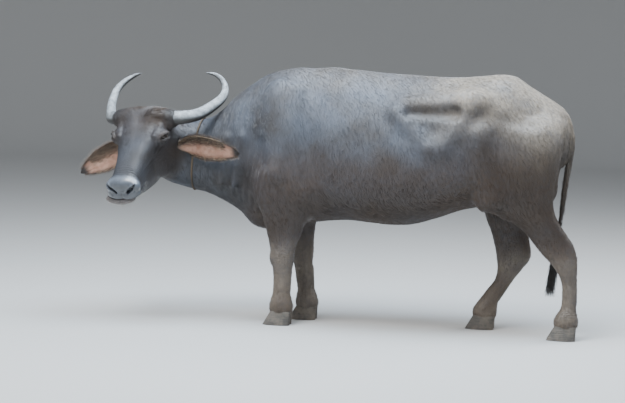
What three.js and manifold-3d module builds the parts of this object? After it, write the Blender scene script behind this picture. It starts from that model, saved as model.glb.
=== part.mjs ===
// Water buffalo cow, life size, standing still with the head turned to its left.
// Millimetres, +Z up. The animal faces -X and its left side faces -Y.
// Its own frame has the floor at z = 0 and the spine in the plane y = 0.
import * as THREE from 'three';
import { mergeVertices } from 'three/addons/utils/BufferGeometryUtils.js';
import Module from 'manifold-3d';

const wasm = await Module();
wasm.setup();

// Driving dimensions.
const GAP = 0.3;
const ORIGIN = [-426, -62, 0];
const BODY_CELL = [75, 55, 57];
const NECK_CELL = [56, 50, 52];
const HEAD_CELL = [26, 24, 26];
const MUZZLE_CELL = [13.8, 13.8, 13.8];
const LID_CELL = [7.5, 7.5, 7.5];
const LEG_CELL = [28, 26, 56];
const SHANK_CELL = [21, 20, 50];

// The head: where its poll is, how far it turns and how far the nose points down.
const POLL = [-1275, -150, 998];
const HEAD_TURN = 13;
const HEAD_PITCH = 47;
const HEAD_ROLL = 2.5;

// Cuts between the named parts of the body.
const NECK_CUT = { at: [-735, 0, 800], facing: [-1, 0, 0.18] };
const FORE_TOP = 515;
const FORE_BACK = -468;
const FORE_INNER = 42;
const HIND_TOP = 572;
const KNEE = 300;
const HOCK = 352;
const CORONET = 66;

// Small mathematics.
const rad = (degrees) => degrees * Math.PI / 180;
const clamp = (x, a, b) => Math.min(Math.max(x, a), b);
const mix = (a, b, t) => a + (b - a) * t;

// Smooth union, cut and common part of two distances, blended over the width k.
function join(a, b, k) {
  const h = Math.max(k - Math.abs(a - b), 0) / k;
  return Math.min(a, b) - h * h * k * 0.25;
}
const carve = (a, b, k) => -join(-a, b, k);
const meet = (a, b, k) => -join(-a, -b, k);

// Rows of numbers read along their first column, with a smooth curve between rows.
function along(rows) {
  const width = rows[0].length - 1;
  const slope = rows.map((row, i) => {
    const before = rows[Math.max(i - 1, 0)];
    const after = rows[Math.min(i + 1, rows.length - 1)];
    return row.map((_, c) => (after[c] - before[c]) / (after[0] - before[0]));
  });
  return (t) => {
    let i = 0;
    while (i < rows.length - 2 && t > rows[i + 1][0]) i += 1;
    const a = rows[i];
    const b = rows[i + 1];
    const span = b[0] - a[0];
    const u = clamp((t - a[0]) / span, 0, 1);
    const out = new Array(width);
    for (let c = 1; c <= width; c += 1) {
      const m0 = slope[i][c] * span;
      const m1 = slope[i + 1][c] * span;
      const d = b[c] - a[c];
      out[c - 1] = a[c] + u * (m0 + u * (3 * d - 2 * m0 - m1 + u * (m0 + m1 - 2 * d)));
    }
    return out;
  };
}

// Distance from a rounded section, measured along the ray from its widest line.
function section(side, up, half, top, bottom, upper, lower) {
  const height = up > 0 ? top : bottom;
  const power = up > 0 ? upper : lower;
  const r = Math.hypot(side, up);
  if (r < 1e-6) return -Math.min(half, top, bottom);
  const f = (Math.abs(side / half) ** power + Math.abs(up / height) ** power) ** (1 / power);
  return r - r / f;
}

// A body drawn along a curve on the ground plan: rows are
// [distance, top, bottom, half width, height of the widest line, and where it changes, how full the top is].
function barrel(plan, rows, upper, lower, round) {
  const curve = new THREE.CatmullRomCurve3(plan.map(([x, y]) => new THREE.Vector3(x, y, 0)), false, 'centripetal');
  const path = curve.getSpacedPoints(48);
  const step = curve.getLength() / 48;
  const read = along(rows);
  const first = rows[0][0];
  const last = rows[rows.length - 1][0];
  return (x, y, z) => {
    let best = Infinity;
    let s = 0;
    let side = 0;
    for (let i = 0; i < 48; i += 1) {
      const a = path[i];
      const b = path[i + 1];
      const ex = b.x - a.x;
      const ey = b.y - a.y;
      const free = ((x - a.x) * ex + (y - a.y) * ey) / (ex * ex + ey * ey);
      const t = clamp(free, i === 0 ? -9 : 0, i === 47 ? 9 : 1);
      const dx = x - a.x - ex * t;
      const dy = y - a.y - ey * t;
      const d = dx * dx + dy * dy;
      if (d < best) {
        best = d;
        s = (i + t) * step;
        side = Math.sqrt(d);
      }
    }
    const [top, bottom, half, widest, crest = upper] = read(clamp(s, first, last));
    const d = section(side, z - widest, half, top - widest, widest - bottom, crest, lower);
    return meet(d, Math.max(first - s, s - last), round);
  };
}

// An upright limb: rows are [height, front, back, middle line, half width].
function column(rows, power, round) {
  const read = along(rows);
  const low = rows[0][0];
  const high = rows[rows.length - 1][0];
  return (x, y, z) => {
    const [front, back, middle, half] = read(clamp(z, low, high));
    const long = (back - front) / 2;
    const d = section(y - middle, x - (front + back) / 2, half, long, long, power, power);
    return meet(d, Math.max(low - z, z - high), round);
  };
}

// An ellipsoid with its radii, turned about its own X, Y and Z axes in degrees.
function ball([cx, cy, cz], [rx, ry, rz], [ax, ay, az] = [0, 0, 0]) {
  const m = new THREE.Matrix4().makeRotationFromEuler(new THREE.Euler(rad(ax), rad(ay), rad(az))).elements;
  return (x, y, z) => {
    const dx = x - cx;
    const dy = y - cy;
    const dz = z - cz;
    const u = (m[0] * dx + m[1] * dy + m[2] * dz) / rx;
    const v = (m[4] * dx + m[5] * dy + m[6] * dz) / ry;
    const w = (m[8] * dx + m[9] * dy + m[10] * dz) / rz;
    const k = Math.hypot(u, v, w);
    const g = Math.hypot(u / rx, v / ry, w / rz);
    return g < 1e-9 ? -Math.min(rx, ry, rz) : k * (k - 1) / g;
  };
}

// A rounded bone between two points with a radius at each end.
function bone([ax, ay, az], [bx, by, bz], ra, rb) {
  const ex = bx - ax;
  const ey = by - ay;
  const ez = bz - az;
  const ee = ex * ex + ey * ey + ez * ez;
  return (x, y, z) => {
    const t = clamp(((x - ax) * ex + (y - ay) * ey + (z - az) * ez) / ee, 0, 1);
    return Math.hypot(x - ax - ex * t, y - ay - ey * t, z - az - ez * t) - mix(ra, rb, t);
  };
}

// The twelve edges of a grid cell, four along each axis, and the four edges of each face.
const EDGES = [];
for (let e = 0; e < 12; e += 1) {
  const axis = Math.floor(e / 4);
  const a = [0, 0, 0];
  a[(axis + 1) % 3] = e & 1;
  a[(axis + 2) % 3] = (e >> 1) & 1;
  const b = [...a];
  b[axis] = 1;
  EDGES.push({ axis, a, b });
}
const FACES = [];
for (let axis = 0; axis < 3; axis += 1) {
  for (let level = 0; level < 2; level += 1) {
    FACES.push(EDGES.map((edge, e) => e).filter((e) => EDGES[e].a[axis] === level && EDGES[e].b[axis] === level));
  }
}

// The closed surface where a field is zero, inside a box, on a grid of the given cell.
// Each separate patch of surface in a grid cell gets a point of its own.
function skin(field, low, high, cell) {
  const n = [0, 1, 2].map((i) => Math.ceil((high[i] - low[i]) / cell[i]) + 4);
  const start = [0, 1, 2].map((i) => low[i] - 1.53 * cell[i]);
  const mid = [0, 1, 2].map((i) => (low[i] + high[i]) / 2);
  const reach = [0, 1, 2].map((i) => (high[i] - low[i]) / 2);
  const inside = (x, y, z) => Math.max(
    field(x, y, z),
    Math.abs(x - mid[0]) - reach[0],
    Math.abs(y - mid[1]) - reach[1],
    Math.abs(z - mid[2]) - reach[2],
  );
  const at = (i, j, k) => (i * n[1] + j) * n[2] + k;
  const value = new Float64Array(n[0] * n[1] * n[2]);
  for (let i = 0; i < n[0]; i += 1) {
    for (let j = 0; j < n[1]; j += 1) {
      for (let k = 0; k < n[2]; k += 1) {
        const d = inside(start[0] + i * cell[0], start[1] + j * cell[1], start[2] + k * cell[2]);
        value[at(i, j, k)] = d === 0 ? 1e-6 : d;
      }
    }
  }
  const points = [];
  const index = new Int32Array(value.length * 12).fill(-1);
  const small = 0.02;
  const most = 0.35 * Math.min(...cell);
  const settle = (p) => {
    for (let turn = 0; turn < 3; turn += 1) {
      const d = inside(...p);
      const g = [0, 1, 2].map((i) => {
        const q = [...p];
        q[i] += small;
        return (inside(...q) - d) / small;
      });
      const gg = g[0] * g[0] + g[1] * g[1] + g[2] * g[2];
      if (gg < 1e-6) return;
      for (let i = 0; i < 3; i += 1) p[i] -= clamp(d * g[i] / gg, -most, most);
    }
  };
  const corner = (here, c) => value[at(here[0] + c[0], here[1] + c[1], here[2] + c[2])];
  const patches = (here) => {
    const crossed = EDGES.map((edge) => corner(here, edge.a) < 0 !== corner(here, edge.b) < 0);
    const group = EDGES.map((edge, e) => e);
    const root = (e) => (group[e] === e ? e : root(group[e]));
    for (const face of FACES) {
      const hit = face.filter((e) => crossed[e]);
      if (hit.length === 2) group[root(hit[0])] = root(hit[1]);
      if (hit.length < 4) continue;
      // Corners inside the body that only touch across a face are kept apart.
      const first = hit.find((e) => EDGES[e].axis !== EDGES[hit[0]].axis
        && shares(here, hit[0], e));
      const rest = hit.filter((e) => e !== hit[0] && e !== first);
      group[root(hit[0])] = root(first);
      group[root(rest[0])] = root(rest[1]);
    }
    const found = new Map();
    EDGES.forEach((edge, e) => {
      if (!crossed[e]) return;
      if (!found.has(root(e))) found.set(root(e), []);
      found.get(root(e)).push(e);
    });
    return [...found.values()];
  };
  const same = (p, q) => p[0] === q[0] && p[1] === q[1] && p[2] === q[2];
  const shares = (here, e, f) => [EDGES[e].a, EDGES[e].b].some((p) => corner(here, p) < 0
    && (same(p, EDGES[f].a) || same(p, EDGES[f].b)));
  for (let i = 0; i < n[0] - 1; i += 1) {
    for (let j = 0; j < n[1] - 1; j += 1) {
      for (let k = 0; k < n[2] - 1; k += 1) {
        const here = [i, j, k];
        const base = value[at(i, j, k)] < 0;
        const flat = base === value[at(i + 1, j, k)] < 0 && base === value[at(i, j + 1, k)] < 0
          && base === value[at(i, j, k + 1)] < 0 && base === value[at(i + 1, j + 1, k)] < 0
          && base === value[at(i + 1, j, k + 1)] < 0 && base === value[at(i, j + 1, k + 1)] < 0
          && base === value[at(i + 1, j + 1, k + 1)] < 0;
        if (flat) continue;
        for (const patch of patches(here)) {
          const p = [0, 0, 0];
          for (const e of patch) {
            const { a, b } = EDGES[e];
            const va = corner(here, a);
            const t = va / (va - corner(here, b));
            for (let c = 0; c < 3; c += 1) p[c] += (here[c] + a[c] + (b[c] - a[c]) * t) / patch.length;
          }
          for (let c = 0; c < 3; c += 1) p[c] = start[c] + p[c] * cell[c];
          settle(p);
          for (const e of patch) index[at(i, j, k) * 12 + e] = points.length;
          points.push(p);
        }
      }
    }
  }
  const faces = [];
  const far = (a, b) => Math.hypot(...[0, 1, 2].map((c) => points[a][c] - points[b][c]));
  for (let i = 1; i < n[0] - 1; i += 1) {
    for (let j = 1; j < n[1] - 1; j += 1) {
      for (let k = 1; k < n[2] - 1; k += 1) {
        const here = [i, j, k];
        const va = value[at(i, j, k)];
        for (let axis = 0; axis < 3; axis += 1) {
          const next = [...here];
          next[axis] += 1;
          if (va < 0 === value[at(...next)] < 0) continue;
          const ring = [[0, 0], [1, 0], [1, 1], [0, 1]].map(([du, dv]) => {
            const c = [...here];
            c[(axis + 1) % 3] -= du;
            c[(axis + 2) % 3] -= dv;
            return index[at(...c) * 12 + axis * 4 + du + 2 * dv];
          });
          if (va > 0) ring.reverse();
          const [a, b, c, d] = ring;
          if (far(a, c) <= far(b, d)) faces.push([a, b, c], [a, c, d]);
          else faces.push([a, b, d], [b, c, d]);
        }
      }
    }
  }
  const geometry = new THREE.BufferGeometry();
  geometry.setAttribute('position', new THREE.Float32BufferAttribute(points.flat(), 3));
  geometry.setIndex(faces.flat());
  return geometry;
}

// A closed loft through rings that all have the same number of points.
function loft(rings) {
  const m = rings[0].length;
  const points = rings.flat();
  const faces = [];
  for (let r = 0; r < rings.length - 1; r += 1) {
    for (let i = 0; i < m; i += 1) {
      const j = (i + 1) % m;
      const a = r * m + i;
      const b = r * m + j;
      faces.push([a, b, b + m], [a, b + m, a + m]);
    }
  }
  const centre = (ring) => ring.reduce((s, p) => s.map((v, c) => v + p[c] / m), [0, 0, 0]);
  const low = points.length;
  points.push(centre(rings[0]), centre(rings[rings.length - 1]));
  for (let i = 0; i < m; i += 1) {
    const j = (i + 1) % m;
    const top = (rings.length - 1) * m;
    faces.push([low, j, i], [low + 1, top + i, top + j]);
  }
  const geometry = new THREE.BufferGeometry();
  geometry.setAttribute('position', new THREE.Float32BufferAttribute(points.flat(), 3));
  geometry.setIndex(faces.flat());
  return geometry;
}

// Solids: a merged closed geometry becomes one that can be joined and cut.
function solid(geometry) {
  const ready = !geometry.attributes.normal;
  geometry.deleteAttribute('normal');
  geometry.deleteAttribute('uv');
  const merged = ready ? geometry : mergeVertices(geometry, 1e-4);
  const make = (flip) => {
    const tri = Uint32Array.from(merged.index.array);
    if (flip) for (let i = 0; i < tri.length; i += 3) [tri[i], tri[i + 1]] = [tri[i + 1], tri[i]];
    return new wasm.Manifold(new wasm.Mesh({
      numProp: 3, vertProperties: Float32Array.from(merged.attributes.position.array), triVerts: tri,
    }));
  };
  const body = make(false);
  return body.volume() > 0 ? body : make(true);
}

function geometryOf(body) {
  const mesh = body.getMesh();
  const geometry = new THREE.BufferGeometry();
  geometry.setAttribute('position', new THREE.Float32BufferAttribute(mesh.vertProperties, 3));
  geometry.setIndex(Array.from(mesh.triVerts));
  return geometry;
}

// Only the largest closed surface of a body is kept.
function largest(body) {
  const parts = body.decompose();
  parts.sort((a, b) => b.volume() - a.volume());
  return parts[0];
}

// A box between two corners, and the half of space in front of a plane.
function block(low, high) {
  const size = [0, 1, 2].map((i) => high[i] - low[i]);
  const box = new THREE.BoxGeometry(...size);
  box.translate(...[0, 1, 2].map((i) => (low[i] + high[i]) / 2));
  return solid(box);
}
function halfSpace(at, facing, off) {
  const far = 4000;
  const box = new THREE.BoxGeometry(far, far, far);
  const normal = new THREE.Vector3(...facing).normalize();
  const turn = new THREE.Quaternion().setFromUnitVectors(new THREE.Vector3(0, 0, 1), normal);
  box.translate(0, 0, far / 2 + off);
  box.applyQuaternion(turn);
  box.translate(...at);
  return solid(box);
}

// The head's own axes: a runs from the poll to the nose, b to its left, c up.
const turned = rad(HEAD_TURN);
const pitched = rad(HEAD_PITCH);
const rolled = rad(HEAD_ROLL);
const FACING = [-Math.sin(turned), -Math.cos(turned), 0];
const LEFT = [Math.cos(turned) * Math.cos(rolled), -Math.sin(turned) * Math.cos(rolled), Math.sin(rolled)];
const UP = [-Math.cos(turned) * Math.sin(rolled), Math.sin(turned) * Math.sin(rolled), Math.cos(rolled)];
const blend = (a, b, p, q) => [0, 1, 2].map((i) => a[i] * p + b[i] * q);
const NOSE = blend(FACING, UP, Math.cos(pitched), -Math.sin(pitched));
const CROWN = blend(FACING, UP, Math.sin(pitched), Math.cos(pitched));
const fromHead = (a, b, c) => [0, 1, 2].map((i) => POLL[i] + NOSE[i] * a + LEFT[i] * b + CROWN[i] * c);
// Points given to the left, back and up of the poll, with the pitch left out.
const fromPoll = (left, back, up) => [0, 1, 2].map(
  (i) => POLL[i] + LEFT[i] * left - FACING[i] * back + UP[i] * up,
);
function inHead(field) {
  return (x, y, z) => {
    const d = [x - POLL[0], y - POLL[1], z - POLL[2]];
    const dot = (e) => d[0] * e[0] + d[1] * e[1] + d[2] * e[2];
    return field(dot(NOSE), dot(LEFT), dot(CROWN));
  };
}

// The trunk, from the tail root to the chest.
const trunk = barrel(
  [[760, 0], [400, 0], [0, 0], [-400, 0], [-760, 0]],
  [
    [30, 960, 850, 34, 905, 2.0],
    [70, 1042, 800, 84, 900, 2.0],
    [120, 1088, 760, 122, 890, 2.0],
    [180, 1126, 715, 152, 880, 2.0],
    [240, 1162, 680, 178, 870, 2.0],
    [310, 1203, 640, 205, 860, 2.0],
    [380, 1210, 612, 232, 840, 2.05],
    [460, 1201, 590, 258, 810, 2.1],
    [540, 1193, 570, 278, 780, 2.1],
    [640, 1191, 533, 292, 760, 2.0],
    [760, 1195, 496, 298, 750, 1.92],
    [860, 1200, 489, 292, 750, 1.88],
    [960, 1206, 494, 280, 760, 1.85],
    [1060, 1214, 502, 262, 770, 1.8],
    [1160, 1220, 494, 242, 780, 1.76],
    [1260, 1214, 478, 218, 790, 1.76],
    [1340, 1204, 462, 196, 800, 1.8],
    [1410, 1186, 460, 168, 800, 1.85],
    [1470, 1160, 500, 130, 800, 1.85],
  ],
  1.85, 2.15, 60,
);

// The neck, which bends round to the left on its way to the head.
const neck = barrel(
  [[-560, 0], [-720, 10], [-880, 30], [-1000, 34], [-1100, 14], [-1190, -40], [-1245, -110], [-1275, -180]],
  [
    [0, 1190, 480, 150, 850],
    [160, 1170, 490, 156, 830],
    [250, 1120, 536, 150, 820],
    [321, 1066, 564, 142, 810],
    [370, 1012, 578, 134, 800],
    [441, 964, 598, 116, 790],
    [543, 945, 622, 102, 790],
    [648, 940, 655, 94, 800],
    [737, 955, 700, 92, 830],
    [813, 960, 740, 84, 850],
  ],
  2.0, 2.0, 40,
);

// One side of the body; side is -1 for the animal's left and +1 for its right.
function shoulder(side) {
  const blade = ball([-585, side * 142, 905], [130, 66, 265], [side * 9, -14, 0]);
  const arm = ball([-635, side * 132, 655], [108, 78, 120], [0, 24, 0]);
  return (x, y, z) => join(blade(x, y, z), arm(x, y, z), 60);
}
function hip(side) {
  const hook = ball([262, side * 172, 1082], [84, 58, 54], [side * 24, 0, 0]);
  const ledge = bone([-40, side * 168, 1062], [230, side * 172, 1080], 18, 28);
  const pin = ball([622, side * 92, 980], [48, 40, 50]);
  return (x, y, z) => join(join(hook(x, y, z), ledge(x, y, z), 80), pin(x, y, z), 30);
}
function hollow(side) {
  return ball([96, side * 334, 985], [150, 78, 84], [0, -6, 0]);
}

// Legs, from the floor up. The near pair are the left ones.
const foreLeft = column([
  [20, -655, -568, -108, 34],
  [65, -650, -568, -108, 36],
  [113, -653, -566, -108, 41],
  [152, -650, -568, -109, 37],
  [200, -648, -564, -110, 33],
  [247, -650, -560, -111, 34],
  [286, -656, -552, -112, 41],
  [328, -661, -546, -112, 45],
  [375, -668, -540, -113, 44],
  [425, -680, -518, -116, 52],
  [480, -696, -500, -120, 62],
  [540, -710, -462, -126, 72],
  [620, -716, -448, -130, 76],
  [720, -706, -470, -134, 70],
], 2.2, 40);
const foreRight = column([
  [20, -566, -482, 104, 34],
  [65, -560, -480, 104, 36],
  [113, -566, -482, 104, 41],
  [152, -570, -488, 105, 37],
  [200, -578, -494, 106, 33],
  [247, -586, -496, 107, 34],
  [286, -596, -496, 108, 41],
  [328, -606, -494, 109, 45],
  [375, -620, -494, 110, 44],
  [425, -652, -492, 114, 52],
  [480, -684, -486, 119, 62],
  [540, -706, -462, 126, 72],
  [620, -716, -448, 130, 76],
  [720, -706, -470, 134, 70],
], 2.2, 40);
const hindLeft = column([
  [20, 690, 770, -112, 32],
  [60, 690, 772, -112, 34],
  [96, 692, 776, -112, 38],
  [130, 700, 774, -112, 38],
  [166, 706, 776, -112, 32],
  [213, 707, 777, -113, 30],
  [259, 704, 775, -113, 31],
  [305, 686, 773, -114, 37],
  [350, 652, 771, -114, 43],
  [397, 606, 767, -115, 45],
  [443, 566, 752, -116, 46],
  [488, 528, 722, -118, 52],
  [532, 468, 690, -122, 66],
  [585, 350, 664, -128, 84],
  [640, 306, 654, -134, 98],
  [710, 296, 656, -138, 104],
  [800, 300, 676, -138, 104],
  [900, 330, 688, -128, 98],
  [1000, 380, 670, -110, 80],
], 2.2, 60);
const hindRight = column([
  [20, 300, 386, 100, 32],
  [60, 300, 386, 100, 34],
  [96, 305, 392, 100, 38],
  [141, 316, 410, 100, 36],
  [180, 340, 434, 101, 32],
  [240, 382, 470, 103, 32],
  [290, 392, 508, 105, 38],
  [335, 386, 542, 107, 43],
  [370, 380, 550, 109, 45],
  [420, 368, 542, 112, 48],
  [475, 350, 536, 116, 56],
  [520, 330, 560, 121, 68],
  [585, 312, 618, 128, 84],
  [640, 300, 650, 134, 98],
  [710, 296, 656, 138, 104],
  [800, 300, 676, 138, 104],
  [900, 330, 688, 128, 98],
  [1000, 380, 670, 110, 80],
], 2.2, 60);

// Small hoofs behind each pastern, two to a leg.
function dewclaws(x, y, z) {
  const left = ball([x, y - 22, z], [17, 13, 15]);
  const right = ball([x, y + 22, z], [17, 13, 15]);
  return (px, py, pz) => Math.min(left(px, py, pz), right(px, py, pz));
}
const spurs = [
  dewclaws(-562, -108, 92),
  dewclaws(-476, 104, 92),
  dewclaws(776, -112, 92),
  dewclaws(394, 100, 92),
];

const sides = [-1, 1].map((side) => ({ shoulder: shoulder(side), hip: hip(side), hollow: hollow(side) }));
const udder = ball([420, 0, 640], [88, 66, 64]);

function body(x, y, z) {
  let d = trunk(x, y, z);
  if (x < -300) d = join(d, neck(x, y, z), 70);
  for (const s of sides) {
    if (x < -200) d = join(d, s.shoulder(x, y, z), 60);
    if (x > -200) {
      d = join(d, s.hip(x, y, z), 60);
      d = carve(d, s.hollow(x, y, z), 60);
    }
  }
  if (x < -300) {
    d = join(d, foreLeft(x, y, z), 44);
    d = join(d, foreRight(x, y, z), 44);
  }
  if (x > 100) {
    d = join(d, hindLeft(x, y, z), 50);
    d = join(d, hindRight(x, y, z), 50);
    d = join(d, udder(x, y, z), 40);
  }
  for (const spur of spurs) d = join(d, spur(x, y, z), 8);
  return d;
}

// The head in its own axes.
const EYE = [134, 123, -42];
const EYE_OUT = [0.4, 0.71, 0.58];
const skull = barrel(
  [[0, 0], [480, 0]],
  [
    [-46, -30, -150, 70, -70],
    [-10, -4, -204, 106, -60],
    [40, 6, -256, 118, -56],
    [100, 8, -284, 116, -56],
    [150, 4, -290, 108, -58],
    [215, -4, -276, 92, -62],
    [270, -12, -244, 80, -70],
    [325, -20, -208, 74, -78],
    [370, -25, -184, 72, -82],
    [412, -33, -164, 70, -84],
    [440, -54, -136, 58, -86],
  ],
  2.8, 1.9, 26,
);
const chewed = -32;
function headField(a, b, c) {
  const s = Math.abs(b);
  let d = skull(a, b, c);
  d = join(d, cheek(a, s, c), 30);
  d = join(d, masseter(a, s, c), 34);
  d = join(d, orbit(a, s, c), 22);
  d = join(d, brow(a, s, c), 16);
  d = join(d, earRoot(a, s, c), 26);
  d = join(d, hornRoot(a, s, c), 30);
  d = join(d, nosePad(a, s, c), 20);
  d = join(d, wing(a, s, c), 12);
  d = join(d, upperLip(a, s, c), 14);
  d = join(d, farLip(a, b, c), 16);
  d = join(d, chin(a, b - chewed, c), 18);
  d = join(d, lowerLip(a, b - chewed, c), 10);
  d = carve(d, mouthLine(a, b - chewed, c), 5);
  d = carve(d, nostril(a, s, c), 6);
  d = carve(d, nostrilTail(a, s, c), 6);
  d = carve(d, tearGroove(a, s, c), 10);
  d = carve(d, temple(a, s, c), 16);
  return d;
}
const cheek = ball([150, 72, -176], [96, 38, 92], [0, 18, 0]);
const masseter = ball([84, 84, -226], [84, 36, 84], [0, 20, 0]);
const temple = ball([66, 144, -106], [22, 26, 30], [0, 30, 0]);
const orbit = ball([EYE[0], EYE[1] - 11, EYE[2] - 2], [46, 33, 37]);
const brow = bone([EYE[0] - 34, 104, -20], [EYE[0] + 22, 92, -16], 15, 12);
const earRoot = ball([60, 100, -150], [36, 34, 34]);
const hornRoot = ball([22, 112, -46], [42, 44, 38]);
const nosePad = ball([406, 0, -62], [42, 68, 38], [0, 10, 0]);
const wing = ball([412, 56, -68], [32, 26, 32], [0, 0, 12]);
const upperLip = ball([426, 26, -102], [38, 46, 24], [0, 0, 8]);
const farLip = ball([418, -60, -104], [34, 36, 28]);
const chin = ball([404, 6, -142], [58, 54, 30], [0, 2, 0]);
const lowerLip = ball([448, 0, -132], [28, 62, 15]);
const mouthLine = ball([450, 0, -117], [62, 90, 5.5], [0, 3, 0]);
const nostril = ball([446, 45, -67], [34, 26, 12], [36, 0, -22]);
const nostrilTail = ball([438, 56, -56], [18, 12, 5], [35, 0, -40]);
const tearGroove = ball([EYE[0] + 34, 112, EYE[2] - 14], [22, 8, 6], [0, 30, 0]);
const head = inHead(headField);
const flesh = (x, y, z) => join(body(x, y, z), head(x, y, z), 26);

// The eye's own axes: out of the head, along the slit to its outer corner, and up.
const EYE_R = 21;
const LID_OVAL = [41, 31];
const unit = (v) => v.map((c) => c / Math.hypot(...v));
const times = (a, b) => [a[1] * b[2] - a[2] * b[1], a[2] * b[0] - a[0] * b[2], a[0] * b[1] - a[1] * b[0]];
const OUT = unit(EYE_OUT);
const LID_UP = unit([-0.52, -0.3, 0.8].map((v, i, w) => v - OUT[i] * (w[0] * OUT[0] + w[1] * OUT[1] + w[2] * OUT[2])));
const SLIT = times(OUT, LID_UP);

// Eyelids: a shell over the globe with a thick fold above and below a half-closed slit.
function lidField(side) {
  const [ea, eb, ec] = EYE;
  const shell = ball([0, 0, 0], [26, 26, 26]);
  const upper = ball([-1, 14, 17], [27, 9, 10], [-18, 0, 0]);
  const crease = ball([-1, 22, 20], [30, 2.6, 8], [-30, 0, 0]);
  const lower = ball([2, -15, 16], [24, 7, 8], [18, 0, 0]);
  const slit = ball([0, -1, 30], [27, 6.2, 22]);
  return inHead((a, b, c) => {
    const s = b * -side;
    const p = [a - ea, s - eb, c - ec];
    const [l, h, o] = [SLIT, LID_UP, OUT].map((e) => p[0] * e[0] + p[1] * e[1] + p[2] * e[2]);
    let d = join(headField(a, b, c), shell(l, h, o), 10);
    d = join(d, upper(l, h, o), 7);
    d = join(d, lower(l, h, o), 7);
    d = carve(d, crease(l, h, o), 3);
    return carve(d, slit(l, h, o), 3);
  });
}

const nodes = new THREE.Group();
function add(name, geometry, color, roughness) {
  const material = new THREE.MeshStandardMaterial({ color, roughness, metalness: 0 });
  const mesh = new THREE.Mesh(geometry, material);
  mesh.name = name;
  mesh.position.set(-ORIGIN[0], -ORIGIN[1], -ORIGIN[2]);
  nodes.add(mesh);
}
const HIDE = 0x4d4a4a;
const HIDE_LEG = 0x54473f;
const HORN = 0x8d8c8a;
const HOOF = 0x4a443e;
const EYE_DARK = 0x14100e;
const EAR = 0x7a5a4c;
const TASSEL = 0x1c1a19;
const ROPE = 0x8a7250;

// Blocks that hold each leg, shared by the piece and by what it is cut from.
const foreBlock = (side, top, bottom, off) => block(
  [-900, side < 0 ? -600 : FORE_INNER + off, bottom + off],
  [FORE_BACK - off, side < 0 ? -FORE_INNER - off : 600, top - off],
);
const hindBlock = (side, top, bottom, off) => block(
  [200, side < 0 ? -600 : off, bottom + off],
  [1000, side < 0 ? -off : 600, top - off],
);
const half = GAP / 2;

// Torso.
const front = halfSpace(NECK_CUT.at, NECK_CUT.facing, half);
const behind = halfSpace(NECK_CUT.at, NECK_CUT.facing.map((v) => -v), half);
let torso = solid(skin(flesh, [-870, -420, 400], [800, 420, 1290], BODY_CELL)).intersect(behind);
for (const side of [-1, 1]) {
  torso = torso.subtract(foreBlock(side, FORE_TOP, 300, 0));
  torso = torso.subtract(hindBlock(side, HIND_TOP, 300, 0));
}

// Neck, cut from the torso by one plane and from the head by another.
const HEAD_CUT = { at: [-1116, 6, 800], facing: [0.82, 0.56, 0.1] };
const backOfHead = halfSpace(HEAD_CUT.at, HEAD_CUT.facing, half);
const frontOfNeck = halfSpace(HEAD_CUT.at, HEAD_CUT.facing.map((v) => -v), half);
const neckSkin = solid(skin(flesh, [-1480, -420, 400], [-640, 300, 1260], NECK_CELL));
let neckSolid = neckSkin.intersect(front).intersect(backOfHead);

// Head, muzzle and the pieces of lid.
const MUZZLE_AT = 340;
const muzzleFront = halfSpace(fromHead(MUZZLE_AT, 0, 0), NOSE, half);
const muzzleBack = halfSpace(fromHead(MUZZLE_AT, 0, 0), NOSE.map((v) => -v), half);
const headLow = [-1560, -620, 480];
const headHigh = [-960, 160, 1090];
let headSolid = solid(skin(flesh, headLow, headHigh, HEAD_CELL)).intersect(frontOfNeck).intersect(muzzleBack);
const tip = fromHead(408, 0, -80);
const muzzleSkin = solid(skin(
  flesh, tip.map((v) => v - 190), tip.map((v) => v + 190), MUZZLE_CELL,
));
add('muzzle', geometryOf(largest(muzzleSkin.intersect(muzzleFront))), HIDE, 0.55);
for (const side of [-1, 1]) {
  const name = side < 0 ? 'left' : 'right';
  const centre = fromHead(EYE[0], EYE[1] * -side, EYE[2]);
  const lids = solid(skin(
    lidField(side), centre.map((v) => v - 66), centre.map((v) => v + 66), LID_CELL,
  ));
  // The piece of lid is an oval plug along the eye's own axis.
  const axis = (v) => new THREE.Vector3(...blend(NOSE, CROWN, v[0], v[2]))
    .addScaledVector(new THREE.Vector3(...LEFT), v[1] * -side);
  const box = (off) => {
    const g = new THREE.CylinderGeometry(1, 0.8, 1, 22, 1);
    g.rotateX(Math.PI / 2);
    g.translate(0, 0, 0.5);
    g.scale(LID_OVAL[0] - off, LID_OVAL[1] - off, 84 - off);
    g.translate(0, 0, -26 + off);
    g.applyMatrix4(new THREE.Matrix4().makeBasis(axis(SLIT), axis(LID_UP), axis(OUT)));
    g.translate(...centre);
    return solid(g);
  };
  const globe = (radius) => {
    const g = new THREE.SphereGeometry(radius, 12, 8);
    g.translate(...centre);
    return solid(g);
  };
  headSolid = headSolid.subtract(box(0)).subtract(globe(EYE_R + GAP));
  const lid = lids.intersect(box(GAP)).subtract(globe(EYE_R + GAP));
  add(`eyelids_${name}`, geometryOf(largest(lid)), HIDE, 0.75);
  add(`eye_${name}`, geometryOf(globe(EYE_R)), EYE_DARK, 0.15);
}

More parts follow.
